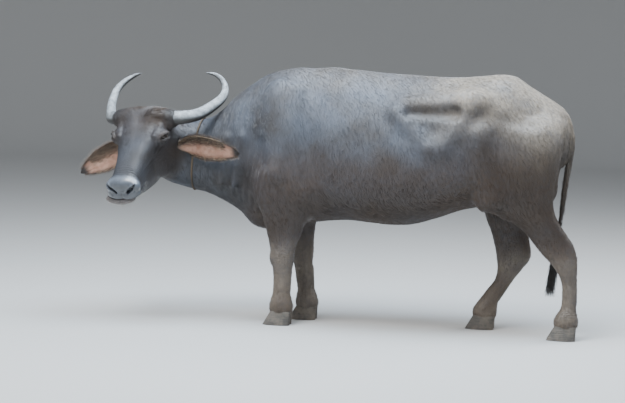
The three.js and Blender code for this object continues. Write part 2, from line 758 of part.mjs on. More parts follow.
// Legs.
const LEGS = [
  { name: 'foreleg_left', side: -1, fore: true, x: [-780, -420], y: [-260, 0], split: KNEE },
  { name: 'foreleg_right', side: 1, fore: true, x: [-780, -420], y: [0, 260], split: KNEE },
  { name: 'hindleg_left', side: -1, fore: false, x: [240, 860], y: [-300, 60], split: HOCK },
  { name: 'hindleg_right', side: 1, fore: false, x: [240, 860], y: [-60, 300], split: HOCK },
];
for (const leg of LEGS) {
  const top = leg.fore ? FORE_TOP : HIND_TOP;
  const hold = leg.fore ? foreBlock : hindBlock;
  const upper = solid(skin(
    body, [leg.x[0], leg.y[0], leg.split - 90], [leg.x[1], leg.y[1], top + 90], LEG_CELL,
  ));
  const lower = solid(skin(
    body, [leg.x[0], leg.y[0], CORONET - 42], [leg.x[1], leg.y[1], leg.split + 90], SHANK_CELL,
  ));
  add(`${leg.name}_upper`, geometryOf(largest(upper.intersect(hold(leg.side, top, leg.split, half)))), HIDE, 0.82);
  add(`${leg.name}_lower`, geometryOf(largest(lower.intersect(hold(leg.side, leg.split, CORONET, half)))), HIDE_LEG, 0.85);
}

// Claws: two to a foot, each a flat-soled wedge with a rounded toe.
const FEET = [
  { name: 'foreleg_left', toe: -690, heel: -560, y: -108, spread: 24 },
  { name: 'foreleg_right', toe: -606, heel: -474, y: 104, spread: 24 },
  { name: 'hindleg_left', toe: 644, heel: 776, y: -112, spread: 23 },
  { name: 'hindleg_right', toe: 250, heel: 386, y: 100, spread: 23 },
];
function claw(foot, side) {
  const top = CORONET - half;
  const rings = [0, 0.3, 1].map((t) => {
    const z = top * t;
    const toe = mix(foot.toe, foot.toe + 38, t);
    const heel = mix(foot.heel, foot.heel + 3, t);
    const outer = mix(30, 20, t);
    const inner = mix(20, 19, t);
    const cy = foot.y + side * foot.spread;
    const pts = [];
    for (let i = 0; i < 10; i += 1) {
      const g = (i / 10) * 2 * Math.PI;
      const cx = Math.cos(g);
      const sy = Math.sin(g);
      const x = mix(toe, heel, 0.5 + 0.5 * Math.sign(cx) * Math.abs(cx) ** 0.8);
      const w = sy * side > 0 ? outer : inner;
      const narrow = 1 - 0.3 * Math.max(-cx, 0) ** 2;
      let y = cy + Math.sign(sy) * Math.abs(sy) ** 0.7 * w * narrow;
      const limit = foot.y + side * 3;
      if ((y - limit) * side < 0) y = limit;
      pts.push([x, y, z]);
    }
    return pts;
  });
  return solid(loft(rings));
}
for (const foot of FEET) {
  add(`${foot.name}_claw_outer`, geometryOf(claw(foot, foot.y < 0 ? -1 : 1)), HOOF, 0.7);
  add(`${foot.name}_claw_inner`, geometryOf(claw(foot, foot.y < 0 ? 1 : -1)), HOOF, 0.7);
}

// A tube of oval rings along a curve: rows are [place along, width, thickness].
function tube(points, rows, count, sides, shape) {
  const curve = new THREE.CatmullRomCurve3(points.map((p) => new THREE.Vector3(...p)), false, 'centripetal');
  const read = along(rows);
  const up = new THREE.Vector3(0, 0, 1);
  const rings = [];
  for (let i = 0; i <= count; i += 1) {
    const t = i / count;
    const p = curve.getPointAt(t);
    const f = curve.getTangentAt(t);
    if (i === 0) p.addScaledVector(f, -(shape.back ?? 0));
    const u = shape.up ? shape.up.clone() : up.clone();
    u.addScaledVector(f, -u.dot(f)).normalize();
    const v = new THREE.Vector3().crossVectors(f, u);
    const [w, h] = read(t);
    const ring = [];
    for (let k = 0; k < sides; k += 1) {
      const g = (k / sides) * 2 * Math.PI;
      const r = shape.ripple ? shape.ripple(t, g) : 1;
      const q = p.clone().addScaledVector(v, Math.cos(g) * w * r).addScaledVector(u, Math.sin(g) * h * r);
      ring.push(q.toArray());
    }
    rings.push(ring);
  }
  return loft(rings);
}

// Horns: out, far back and then up and in, with rings of growth near the root.
const HORN_PATH = [
  [66, -16, -34], [124, -14, -40], [184, 10, -41], [236, 86, -28], [278, 162, 11],
  [298, 222, 51], [293, 259, 93], [264, 288, 131], [219, 304, 158], [178, 289, 168],
];
const HORN_ROWS = [
  [0, 28, 33], [0.12, 28, 33], [0.3, 26, 30], [0.5, 22, 26], [0.7, 17, 20], [0.86, 10, 13], [0.96, 5, 6.5], [1, 1.5, 2],
];
const ripple = (t, g) => 1 + 0.035 * Math.max(0, 1 - t * 1.5) * Math.sin(t * 150)
  + 0.05 * Math.cos(3 * g + 0.4);
const horn = (side, more) => solid(tube(
  HORN_PATH.map(([l, b, u]) => fromPoll(l * -side, b, u)),
  HORN_ROWS.map(([t, w, h]) => [t, w + more, h + more]), 24, 8, { ripple, back: more },
));

// Ears: a cupped leaf, held out to the side with its hollow to the front.
const EARS = [
  { side: -1, root: [108, 92, -166], tip: [466, 44, -210], sag: 2 },
  { side: 1, root: [-104, 88, -172], tip: [-402, 70, -312], sag: 12 },
];
const EAR_ROWS = [
  [0, 26, 25], [0.1, 30, 25], [0.22, 51, 22], [0.38, 63, 18], [0.55, 60, 15], [0.72, 48, 12], [0.86, 30, 8], [0.95, 15, 5], [1, 3, 2],
];
const EAR_THICK = 5;
function ear(one, more, filled) {
  const root = new THREE.Vector3(...fromPoll(...one.root));
  const end = new THREE.Vector3(...fromPoll(...one.tip));
  const middle = root.clone().lerp(end, 0.5).add(new THREE.Vector3(0, 0, one.sag));
  const curve = new THREE.QuadraticBezierCurve3(root, middle, end);
  const read = along(EAR_ROWS);
  const ahead = new THREE.Vector3(...FACING).multiplyScalar(0.9).add(new THREE.Vector3(0, 0, -0.42));
  const rings = [];
  const count = 14;
  for (let i = 0; i <= count; i += 1) {
    const t = i / count;
    const p = curve.getPoint(t);
    const f = curve.getTangent(t);
    if (i === 0) p.addScaledVector(f, -more);
    const out = ahead.clone().addScaledVector(f, -ahead.dot(f)).normalize();
    const across = new THREE.Vector3().crossVectors(f, out).normalize();
    const [half, deep] = read(t);
    // Near the root the leaf rolls into a stalk; further out it opens into a cup.
    const open = filled ? 0 : clamp((t - 0.08) / 0.22, 0, 1) ** 1.2;
    const thick = EAR_THICK * mix(1, 0.6, t);
    const ring = [];
    const steps = 6;
    for (let k = 0; k <= steps; k += 1) {
      const g = Math.PI * (k / steps);
      ring.push([-Math.cos(g) * (half + more), -Math.sin(g) * (deep + more)]);
    }
    for (let k = 1; k < steps; k += 1) {
      const g = Math.PI * (1 - k / steps);
      const cup = -Math.sin(g) * Math.max(deep - thick, 0.3);
      const full = Math.sin(g) * (deep + more);
      ring.push([-Math.cos(g) * (half - thick * open * Math.sin(g)), mix(full, cup, open)]);
    }
    rings.push(ring.map(([a, o]) => p.clone().addScaledVector(across, a).addScaledVector(out, o).toArray()));
  }
  return solid(loft(rings));
}

// Tail: a tapered dock that hangs between the thighs, and the switch at its end.
const TAIL = [[600, 0, 1075], [652, 0, 1052], [692, 0, 1010], [716, 0, 940], [718, 0, 870], [710, 0, 800],
  [700, 0, 720], [692, 0, 640], [684, 2, 560], [674, 6, 470], [664, 8, 400]];
const TAIL_ROWS = [[0, 34, 26], [0.1, 30, 24], [0.25, 20, 18], [0.5, 14, 13], [0.8, 11, 10], [1, 9, 8]];
const tail = (more) => solid(tube(
  TAIL, TAIL_ROWS.map(([t, w, h]) => [t, w + more, h + more]), 16, 8, { up: new THREE.Vector3(1, 0, 0.2), back: more },
));
const SWITCH = [[666, 7, 412], [661, 9, 370], [652, 10, 300], [646, 11, 240], [644, 12, 190]];
const SWITCH_ROWS = [[0, 10, 9], [0.2, 13, 11], [0.5, 11, 9], [0.8, 6, 5], [1, 2, 2]];
const core = () => solid(tube(SWITCH, SWITCH_ROWS, 5, 5, { up: new THREE.Vector3(1, 0, 0) }));

// The switch's locks: flat, tapered blades that leave the core all round and hang down.
const LOCKS = 11;
const LOCK_LONG = 150;
const LOCK_WIDE = 10.5;
const LOCK_THICK = 3;
function shuffled(seed) {
  let state = seed;
  return () => {
    state = (state * 1664525 + 1013904223) % 4294967296;
    return state / 4294967296;
  };
}
function lock(where, angle, long, wide, random) {
  const curve = new THREE.CatmullRomCurve3(SWITCH.map((p) => new THREE.Vector3(...p)), false, 'centripetal');
  const root = curve.getPointAt(where);
  const out = new THREE.Vector3(Math.cos(angle), Math.sin(angle), 0);
  const spread = mix(6, 15, random());
  const sway = mix(-7, 7, random());
  const side = new THREE.Vector3(-Math.sin(angle), Math.cos(angle), 0);
  const rings = [[0, 0.75], [0.4, 1], [0.8, 0.6], [1, 0.16]].map(([t, part]) => {
    const p = root.clone();
    p.addScaledVector(out, 2 + spread * Math.sin(Math.PI * Math.min(t * 0.8, 1)));
    p.addScaledVector(side, sway * t * t);
    p.z -= long * t;
    p.x -= 12 * t * t;
    const w = wide * part;
    const h = LOCK_THICK * mix(1, 0.3, t);
    const at = (a, b) => p.clone().addScaledVector(side, a).addScaledVector(out, b).toArray();
    return [at(-w, 0), at(0, -h), at(w, 0), at(0, h)];
  });
  return solid(loft(rings));
}
function tassel() {
  const random = shuffled(11);
  let body = core();
  for (let i = 0; i < LOCKS; i += 1) {
    const where = 0.04 + 0.6 * (i / LOCKS);
    const long = mix(LOCK_LONG, 95, i / LOCKS) * mix(0.85, 1.1, random());
    body = body.add(lock(where, i * 2.4 + random(), long, LOCK_WIDE * mix(0.85, 1.2, random()), random));
  }
  return largest(body);
}

// The rope: a loop that lies on the neck just behind the jaw.
const ROPE_R = 4.5;
const ROPE_AT = [-1052, 0, 700];
const ROPE_LEAN = [-0.97, 0.06, 0.1];
function rope(more) {
  const normal = new THREE.Vector3(...ROPE_LEAN).normalize();
  const centre = new THREE.Vector3(...ROPE_AT);
  centre.y = 24;
  centre.z = 785;
  const u = new THREE.Vector3(0, 0, 1).addScaledVector(normal, -normal.z).normalize();
  const v = new THREE.Vector3().crossVectors(normal, u);
  const count = 32;
  const sides = 6;
  const loop = [];
  for (let i = 0; i < count; i += 1) {
    const g = (i / count) * 2 * Math.PI;
    const dir = u.clone().multiplyScalar(Math.cos(g)).addScaledVector(v, Math.sin(g));
    let near = 20;
    let far = 420;
    for (let turn = 0; turn < 30; turn += 1) {
      const r = (near + far) / 2;
      const q = centre.clone().addScaledVector(dir, r);
      if (flesh(q.x, q.y, q.z) < ROPE_R * 0.45) near = r;
      else far = r;
    }
    loop.push(centre.clone().addScaledVector(dir, near));
  }
  const points = [];
  for (let i = 0; i < count; i += 1) {
    const f = loop[(i + 1) % count].clone().sub(loop[(i + count - 1) % count]).normalize();
    const side = normal.clone().addScaledVector(f, -normal.dot(f)).normalize();
    const out = new THREE.Vector3().crossVectors(f, side);
    for (let k = 0; k < sides; k += 1) {
      const g = (k / sides) * 2 * Math.PI;
      const q = loop[i].clone().addScaledVector(side, Math.cos(g) * (ROPE_R + more));
      points.push(q.addScaledVector(out, Math.sin(g) * (ROPE_R + more)).toArray());
    }
  }
  const faces = [];
  for (let i = 0; i < count; i += 1) {
    for (let k = 0; k < sides; k += 1) {
      const a = i * sides + k;
      const b = i * sides + (k + 1) % sides;
      const c = ((i + 1) % count) * sides + (k + 1) % sides;
      const d = ((i + 1) % count) * sides + k;
      faces.push([a, b, c], [a, c, d]);
    }
  }
  const geometry = new THREE.BufferGeometry();
  geometry.setAttribute('position', new THREE.Float32BufferAttribute(points.flat(), 3));
  geometry.setIndex(faces.flat());
  return solid(geometry);
}

// What grows out of the body sits in a socket of its own shape, a hair wider than itself.
for (const side of [-1, 1]) {
  const name = side < 0 ? 'left' : 'right';
  const socket = horn(side, 1.5 * GAP);
  headSolid = headSolid.subtract(socket);
  neckSolid = neckSolid.subtract(socket);
  add(`horn_${name}`, geometryOf(horn(side, 0)), HORN, 0.55);
}
for (const one of EARS) {
  const name = one.side < 0 ? 'left' : 'right';
  const socket = ear(one, 2 * GAP, true);
  headSolid = headSolid.subtract(socket);
  neckSolid = neckSolid.subtract(socket);
  add(`ear_${name}`, geometryOf(ear(one, 0, false)), EAR, 0.8);
}
neckSolid = neckSolid.subtract(rope(GAP));
headSolid = headSolid.subtract(rope(GAP));
torso = torso.subtract(tail(GAP));
add('torso', geometryOf(largest(torso)), HIDE, 0.8);
add('neck', geometryOf(largest(neckSolid)), HIDE, 0.8);
add('head', geometryOf(largest(headSolid)), HIDE, 0.78);
add('tail_dock', geometryOf(largest(tail(0).subtract(tassel()))), HIDE, 0.8);
add('tail_switch', geometryOf(tassel()), TASSEL, 0.9);
add('neck_rope', geometryOf(rope(0)), ROPE, 0.9);

export default nodes;
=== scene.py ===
# %% [markdown]
# # A water buffalo cow, life size
#
# The animal stands with its left side to us and looks over at the camera.
# A real hide is one sheet of skin over muscle and bone. Here the flesh is a smooth
# distance field built from a few named forms, and the skin lies a coat's depth
# inside the surface where that field is zero. The forms are those of the solids,
# with a deeper jaw, a wider nose pad and lip, and finer relief. A field was chosen
# over stitched tubes because the forms melt into each other, with no seams.
# Lengths below are millimetres in the animal's own frame: floor at z = 0, spine at
# y = 0, head towards -x, left side towards -y.

# %% Set-up
import math
import bpy
import numpy as np
from mathutils import Matrix, Vector


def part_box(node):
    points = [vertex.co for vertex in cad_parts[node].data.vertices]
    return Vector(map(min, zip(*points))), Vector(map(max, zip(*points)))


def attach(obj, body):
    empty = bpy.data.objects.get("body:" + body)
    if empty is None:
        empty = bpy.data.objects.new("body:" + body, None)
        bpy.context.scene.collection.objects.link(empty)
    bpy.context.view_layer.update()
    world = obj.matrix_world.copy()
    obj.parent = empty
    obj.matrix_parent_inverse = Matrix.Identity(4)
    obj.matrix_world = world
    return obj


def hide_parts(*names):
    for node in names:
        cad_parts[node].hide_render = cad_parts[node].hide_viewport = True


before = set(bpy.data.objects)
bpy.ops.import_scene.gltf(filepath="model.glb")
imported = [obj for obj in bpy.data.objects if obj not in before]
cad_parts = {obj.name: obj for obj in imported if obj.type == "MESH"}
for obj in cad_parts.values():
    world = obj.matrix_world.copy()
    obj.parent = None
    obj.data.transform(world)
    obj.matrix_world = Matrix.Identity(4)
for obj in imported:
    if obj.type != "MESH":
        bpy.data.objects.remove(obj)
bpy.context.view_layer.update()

# The head's own axes: where the poll is, and how far the head turns, dips and tilts.
POLL = np.array([-1275.0, -150.0, 998.0])
HEAD_TURN, HEAD_PITCH, HEAD_ROLL = np.radians([13.0, 47.0, 2.5])
facing = np.array([-math.sin(HEAD_TURN), -math.cos(HEAD_TURN), 0.0])
LEFT = np.array([math.cos(HEAD_TURN) * math.cos(HEAD_ROLL),
                 -math.sin(HEAD_TURN) * math.cos(HEAD_ROLL), math.sin(HEAD_ROLL)])
upright = np.array([-math.cos(HEAD_TURN) * math.sin(HEAD_ROLL),
                    math.sin(HEAD_TURN) * math.sin(HEAD_ROLL), math.cos(HEAD_ROLL)])
NOSE = facing * math.cos(HEAD_PITCH) - upright * math.sin(HEAD_PITCH)
CROWN = facing * math.sin(HEAD_PITCH) + upright * math.cos(HEAD_PITCH)
HEAD_AXES = np.array([NOSE, LEFT, CROWN])
EYE = np.array([134.0, 123.0, -42.0])
EYE_R = 21.0


def from_head(a, b, c):
    """A point given along the nose, to the left and up, in the head's own axes."""
    return POLL + NOSE * a + LEFT * b + CROWN * c


def from_poll(left, back, up):
    """A point given to the left, behind and above the poll, with the pitch left out."""
    return POLL + LEFT * left - facing * back + upright * up


# The left eye's centre is known in both frames and ties them together.
low, high = (np.array(c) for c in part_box("eye_left"))
SHIFT = (low + high) / 2 - from_head(*EYE) / 1000
print("own frame to scene, metres:", SHIFT.round(4))


def metres(points):
    """Own-frame millimetres to scene metres."""
    return np.asarray(points, float) / 1000 + SHIFT


# %% [markdown]
# ## Small tools for the field
#
# Two forms are joined with a soft fillet, as muscle runs into muscle. The same rule
# turned inside out carves a hollow. Rows of numbers are read along their first
# column with a smooth curve, so that a limb needs only a few measured heights.

# %% Joining, carving and reading rows
def join(a, b, k):
    h = np.maximum(k - np.abs(a - b), 0) / k
    return np.minimum(a, b) - h * h * k * 0.25


def carve(a, b, k):
    return -join(-a, b, k)


def meet(a, b, k):
    return -join(-a, -b, k)


def smooth(x, low, high):
    """0 below low, 1 above high, with a soft step between."""
    t = np.clip((x - low) / (high - low), 0, 1)
    return t * t * (3 - 2 * t)


def along(rows, t):
    """Reads rows at t: a cubic through the rows, with slopes taken across neighbours."""
    rows = np.array(rows, float)
    n = len(rows)
    before, after = np.maximum(np.arange(n) - 1, 0), np.minimum(np.arange(n) + 1, n - 1)
    slope = (rows[after] - rows[before]) / (rows[after, :1] - rows[before, :1])
    t = np.asarray(t, float)
    i = np.searchsorted(rows[1:-1, 0], t, side="left")
    span = (rows[i + 1, 0] - rows[i, 0])[..., None]
    u = np.clip((t[..., None] - rows[i, :1]) / span, 0, 1)
    a, b = rows[i, 1:], rows[i + 1, 1:]
    m0, m1 = slope[i, 1:] * span, slope[i + 1, 1:] * span
    d = b - a
    return a + u * (m0 + u * (3 * d - 2 * m0 - m1 + u * (m0 + m1 - 2 * d)))


def smooth_path(points, count):
    """A centripetal curve through the points, at count + 1 evenly spaced places."""
    p = np.array(points, float)
    p = np.vstack([2 * p[0] - p[1], p, 2 * p[-1] - p[-2]])
    out = []
    for k in range(1, len(p) - 2):
        x0, x1, x2, x3 = p[k - 1:k + 3]
        d0, d1, d2 = (np.linalg.norm(v) ** 0.5 for v in (x1 - x0, x2 - x1, x3 - x2))
        t1 = ((x1 - x0) / d0 - (x2 - x0) / (d0 + d1) + (x2 - x1) / d1) * d1
        t2 = ((x2 - x1) / d1 - (x3 - x1) / (d1 + d2) + (x3 - x2) / d2) * d1
        u = np.linspace(0, 1, 40, endpoint=k == len(p) - 3)[:, None]
        out.append(x1 + t1 * u + (3 * (x2 - x1) - 2 * t1 - t2) * u ** 2
                   + (2 * (x1 - x2) + t1 + t2) * u ** 3)
    fine = np.vstack(out)
    s = np.r_[0, np.cumsum(np.linalg.norm(np.diff(fine, axis=0), axis=1))]
    at = np.linspace(0, s[-1], count + 1)
    return np.stack([np.interp(at, s, fine[:, c]) for c in range(fine.shape[1])], 1), s[-1]


# %% Forms: rounded section, ball, bone and limb
def section(side, up, half, top, bottom, upper, lower):
    """Distance from a rounded section, measured along the ray from its widest line."""
    height = np.where(up > 0, top, bottom)
    power = np.where(up > 0, upper, lower)
    r = np.hypot(side, up) + 1e-9
    f = (np.abs(side / half) ** power + np.abs(up / height) ** power) ** (1 / power)
    return r - r / np.maximum(f, 1e-9)


def ball(centre, radii, turns=(0, 0, 0)):
    """An ellipsoid, turned about its own axes in degrees."""
    ax, ay, az = np.radians(turns)
    rx = np.array([[1, 0, 0], [0, math.cos(ax), -math.sin(ax)], [0, math.sin(ax), math.cos(ax)]])
    ry = np.array([[math.cos(ay), 0, math.sin(ay)], [0, 1, 0], [-math.sin(ay), 0, math.cos(ay)]])
    rz = np.array([[math.cos(az), -math.sin(az), 0], [math.sin(az), math.cos(az), 0], [0, 0, 1]])
    m = rx @ ry @ rz
    radii = np.array(radii, float)

    def field(p):
        q = (p - np.array(centre, float)) @ m / radii
        k = np.linalg.norm(q, axis=1)
        g = np.linalg.norm(q / radii, axis=1)
        return k * (k - 1) / np.maximum(g, 1e-9)
    return field


def bone(a, b, ra, rb):
    """A rounded rod between two points with a radius at each end."""
    a, e = np.array(a, float), np.array(b, float) - np.array(a, float)

    def field(p):
        t = np.clip((p - a) @ e / (e @ e), 0, 1)
        return np.linalg.norm(p - a - t[:, None] * e, axis=1) - (ra + (rb - ra) * t)
    return field


def rope_of(path, radii):
    """A soft tube along a path, with a radius at each of its points."""
    def field(p):
        best = np.full(len(p), 1e9)
        for a, b, ra, rb in zip(path[:-1], path[1:], radii[:-1], radii[1:]):
            best = np.minimum(best, bone(a, b, ra, rb)(p))
        return best
    return field


def limb(rows, power, soften):
    """An upright limb: rows are height, front, back, middle line and half width."""
    def field(p):
        z = p[:, 2]
        front, back, middle, half = along(rows, np.clip(z, rows[0][0], rows[-1][0])).T
        long = (back - front) / 2
        d = section(p[:, 1] - middle, p[:, 0] - (front + back) / 2, half, long, long, power, power)
        return meet(d, np.maximum(rows[0][0] - z, z - rows[-1][0]), soften)
    return field


PLAN_STEPS = 48
BEYOND_ENDS = 9


def barrel(plan, rows, upper, lower, soften):
    """A body along a curve on the ground plan: rows are distance, top, bottom,
    half width, height of the widest line and, if it changes, how full the top is."""
    path, long = smooth_path(plan, PLAN_STEPS)
    step = long / PLAN_STEPS
    straight = len(plan) == 2

    def field(p):
        if straight:
            gone = p[:, 0] - plan[0][0]
            s = np.abs(gone) * np.sign(gone * (plan[-1][0] - plan[0][0]))
            side = np.abs(p[:, 1])
        else:
            best = np.full(len(p), 1e18)
            s = np.zeros(len(p))
            for i in range(PLAN_STEPS):
                a, e = path[i], path[i + 1] - path[i]
                first, last = i == 0, i == PLAN_STEPS - 1
                t = ((p[:, :2] - a) @ e) / (e @ e)
                t = np.clip(t, -BEYOND_ENDS if first else 0, BEYOND_ENDS if last else 1)
                gap = p[:, :2] - a - t[:, None] * e
                d = (gap ** 2).sum(1)
                near = d < best
                best[near] = d[near]
                s[near] = (i + t[near]) * step
            side = np.sqrt(best)
        read = along(rows, np.clip(s, rows[0][0], rows[-1][0]))
        top, bottom, half, widest = read.T[:4]
        crest = read.T[4] if len(rows[0]) > 5 else upper
        d = section(side, p[:, 2] - widest, half, top - widest, widest - bottom, crest, lower)
        return meet(d, np.maximum(rows[0][0] - s, s - rows[-1][0]), soften)
    return field


# %% [markdown]
# ## Trunk, neck and legs
#
# A buffalo cow is a deep barrel on short legs, with a level back, sharp hip bones
# and a belly that hangs lowest in front of the flank. The numbers are heights and
# widths read along the body, the way a livestock judge would measure it.

# %% Trunk and neck
trunk = barrel([(760, 0), (-760, 0)], [
    (30, 960, 850, 34, 905, 2.0), (70, 1042, 800, 84, 900, 2.0), (120, 1088, 760, 122, 890, 2.0),
    (180, 1126, 715, 152, 880, 2.0), (240, 1162, 680, 178, 870, 2.0), (310, 1203, 640, 205, 860, 2.0),
    (380, 1210, 612, 232, 840, 2.05), (460, 1201, 590, 258, 810, 2.1), (540, 1193, 570, 278, 780, 2.1),
    (640, 1191, 533, 292, 760, 2.0), (760, 1195, 496, 298, 750, 1.92), (860, 1200, 489, 292, 750, 1.88),
    (960, 1206, 494, 280, 760, 1.85), (1060, 1214, 502, 262, 770, 1.8), (1160, 1220, 494, 242, 780, 1.76),
    (1260, 1214, 478, 218, 790, 1.76), (1340, 1204, 462, 196, 800, 1.8), (1410, 1186, 460, 168, 800, 1.85),
    (1470, 1160, 500, 130, 800, 1.85),
], 1.85, 2.15, 60)
neck = barrel([(-560, 0), (-720, 10), (-880, 30), (-1000, 34), (-1100, 14), (-1190, -40),
               (-1245, -110), (-1275, -180)], [
    (0, 1190, 480, 150, 850), (160, 1170, 490, 156, 830), (250, 1120, 536, 150, 820),
    (321, 1066, 564, 142, 810), (370, 1012, 578, 134, 800), (441, 964, 598, 116, 790),
    (543, 945, 622, 102, 790), (648, 940, 655, 94, 800), (737, 955, 700, 92, 830),
    (813, 960, 740, 84, 850),
], 2.0, 2.0, 40)


def shoulder(side):
    blade = ball([-585, side * 142, 905], [130, 66, 265], [side * 9, -14, 0])
    arm = ball([-635, side * 132, 655], [108, 78, 120], [0, 24, 0])

    def field(p):
        return join(blade(p), arm(p), 60)
    return field


def hip(side):
    hook = ball([262, side * 172, 1082], [84, 58, 54], [side * 24, 0, 0])
    ledge = bone([-40, side * 168, 1062], [230, side * 172, 1080], 18, 28)
    pin = ball([622, side * 92, 980], [48, 40, 50])

    def field(p):
        return join(join(hook(p), ledge(p), 80), pin(p), 30)
    return field


def hollow(side):
    return ball([96, side * 336, 985], [150, 76, 84], [0, -6, 0])


# %% Legs, from the floor up
upper_hind = [(585, 312, 618, 128, 84), (640, 300, 650, 134, 98), (710, 296, 656, 138, 104),
              (800, 300, 676, 138, 104), (900, 330, 688, 128, 98), (1000, 380, 670, 110, 80)]
LEGS = {
    "fore_left": limb([
        (20, -655, -568, -108, 34), (65, -650, -568, -108, 36), (113, -653, -566, -108, 41),
        (152, -650, -568, -109, 37), (200, -648, -564, -110, 33), (247, -650, -560, -111, 34),
        (286, -656, -552, -112, 41), (328, -661, -546, -112, 45), (375, -668, -540, -113, 44),
        (425, -680, -518, -116, 52), (480, -696, -500, -120, 62), (540, -710, -462, -126, 72),
        (620, -716, -448, -130, 76), (720, -706, -470, -134, 70)], 2.2, 40),
    "fore_right": limb([
        (20, -566, -482, 104, 34), (65, -560, -480, 104, 36), (113, -566, -482, 104, 41),
        (152, -570, -488, 105, 37), (200, -578, -494, 106, 33), (247, -586, -496, 107, 34),
        (286, -596, -496, 108, 41), (328, -606, -494, 109, 45), (375, -620, -494, 110, 44),
        (425, -652, -492, 114, 52), (480, -684, -486, 119, 62), (540, -706, -462, 126, 72),
        (620, -716, -448, 130, 76), (720, -706, -470, 134, 70)], 2.2, 40),
    "hind_left": limb([
        (20, 690, 770, -112, 32), (60, 690, 772, -112, 34), (96, 692, 776, -112, 38),
        (130, 700, 774, -112, 38), (166, 706, 776, -112, 32), (213, 707, 777, -113, 30),
        (259, 704, 775, -113, 31), (305, 686, 773, -114, 37), (350, 652, 771, -114, 43),
        (397, 606, 767, -115, 45), (443, 566, 752, -116, 46), (488, 528, 722, -118, 52),
        (532, 468, 690, -122, 66), (585, 350, 664, -128, 84), (640, 306, 654, -134, 98),
        *[(z, f, b, -m, w) for z, f, b, m, w in upper_hind[2:]]], 2.2, 60),
    "hind_right": limb([
        (20, 300, 386, 100, 32), (60, 300, 386, 100, 34), (96, 305, 392, 100, 38),
        (141, 316, 410, 100, 36), (180, 340, 434, 101, 32), (240, 382, 470, 103, 32),
        (290, 392, 508, 105, 38), (335, 386, 542, 107, 43), (370, 380, 550, 109, 45),
        (420, 368, 542, 112, 48), (475, 350, 536, 116, 56), (520, 330, 560, 121, 68),
        *upper_hind], 2.2, 60),
}
# The small back hoofs, two behind each pastern.
spurs = [ball([x, y + s * 21, 96], [15, 11, 14], [0, 24, 0])
         for x, y in ((-574, -108), (-489, 104), (764, -112), (384, 100)) for s in (-1, 1)]
# The soft band of skin above the hoofs.
coronets = [ball([(toe + heel + 41) / 2, y, 84], [(heel - toe - 35) / 2 + 4, 45, 44])
            for toe, heel, y in ((-690, -560, -108), (-606, -474, 104), (644, 776, -112), (250, 386, 100))]
udder = ball([420, 0, 640], [88, 66, 64])
teats = [bone([x, y, 598], [x + 2, y * 1.2, 552], 11, 8) for x in (382, 440) for y in (-32, 32)]

# %% Tail
TAIL = [(600, 0, 1075), (652, 0, 1052), (692, 0, 1010), (716, 0, 940), (718, 0, 870), (710, 0, 800),
        (700, 0, 720), (692, 0, 640), (684, 2, 560), (674, 6, 470), (664, 8, 400)]
tail_path, _ = smooth_path(TAIL, 22)
tail_radius = along([(0, 29), (0.1, 26), (0.25, 18.5), (0.5, 13), (0.8, 10), (1, 8)],
                    np.linspace(0, 1, 23))[:, 0]
tail = rope_of(tail_path, tail_radius)
sides = [(shoulder(s), hip(s), hollow(s)) for s in (-1, 1)]

# %% [markdown]
# ## Head
#
# The head is built in its own axes: a along the nose, b to the left, c up. A swamp
# buffalo has a long flat face, orbits that stand out at the sides, deep jaws and a
# broad wet nose pad. This cow is chewing, so her lower jaw sits a little to her right.

# %% Skull, cheeks, muzzle and nostrils
CHEWED = -36.0
skull = barrel([(0, 0), (480, 0)], [
    (-46, -30, -150, 70, -70), (-10, -4, -204, 106, -60), (40, 6, -256, 118, -56),
    (100, 8, -286, 116, -56), (150, 4, -296, 108, -58), (215, -4, -288, 92, -62),
    (270, -12, -262, 80, -70), (325, -20, -228, 74, -78), (370, -25, -198, 72, -82),
    (412, -33, -164, 70, -84), (440, -54, -136, 58, -86)], 2.8, 1.9, 26)
face_added = [
    (ball([150, 72, -176], [96, 38, 92], [0, 18, 0]), 30),              # cheek
    (ball([84, 84, -226], [84, 36, 84], [0, 20, 0]), 34),               # jaw muscle
    (ball([EYE[0], EYE[1] - 11, EYE[2] - 2], [46, 33, 37]), 22),        # orbit
    (bone([EYE[0] - 34, 104, -20], [EYE[0] + 22, 92, -16], 15, 12), 16),  # brow
    (ball([60, 100, -150], [36, 34, 34]), 26),                          # ear root
    (ball([22, 112, -46], [42, 44, 38]), 30),                           # horn root
    (ball([406, 0, -62], [42, 74, 38], [0, 10, 0]), 20),                # nose pad
    (ball([412, 61, -68], [32, 26, 32], [0, 0, 12]), 12),               # wing of the nostril
    (ball([426, 29, -102], [38, 51, 24], [0, 0, 8]), 14),               # upper lip
]
far_lip = ball([418, -60, -104], [34, 36, 28])
chin = ball([404, 6, -142], [58, 60, 31], [0, 2, 0])
lower_lip = ball([433, 0, -140], [31, 80, 22])
mouth_slot = ball([450, 0, -117], [62, 90, 5.5], [0, 3, 0])
nostrils = [ball([448, 46, -66], [34, 25, 9.5], [36, 0, -22]),
            ball([438, 60, -55], [20, 14, 6], [35, 0, -40])]
face_carved = [
    (ball([EYE[0] + 36, 114, EYE[2] - 18], [24, 8, 6], [0, 30, 0]), 10),  # tear groove
    (ball([66, 144, -106], [22, 26, 30], [0, 30, 0]), 16),              # hollow behind the eye
]

# The eye's own axes: out of the head, up across the lids, and along the slit.
eye_out = np.array([0.4, 0.71, 0.58])
eye_out /= np.linalg.norm(eye_out)
lid_up = np.array([-0.52, -0.3, 0.8])
lid_up -= eye_out * (lid_up @ eye_out)
lid_up /= np.linalg.norm(lid_up)
EYE_AXES = np.array([np.cross(eye_out, lid_up), lid_up, eye_out])
lid_added = [(ball([0, 0, 0], [26, 26, 26]), 10), (ball([-1, 13, 17], [28, 9, 10], [-18, 0, 0]), 7),
             (ball([2, -15, 16], [25, 7, 8], [18, 0, 0]), 7)]


def to_head(p):
    return (p - POLL) @ HEAD_AXES.T


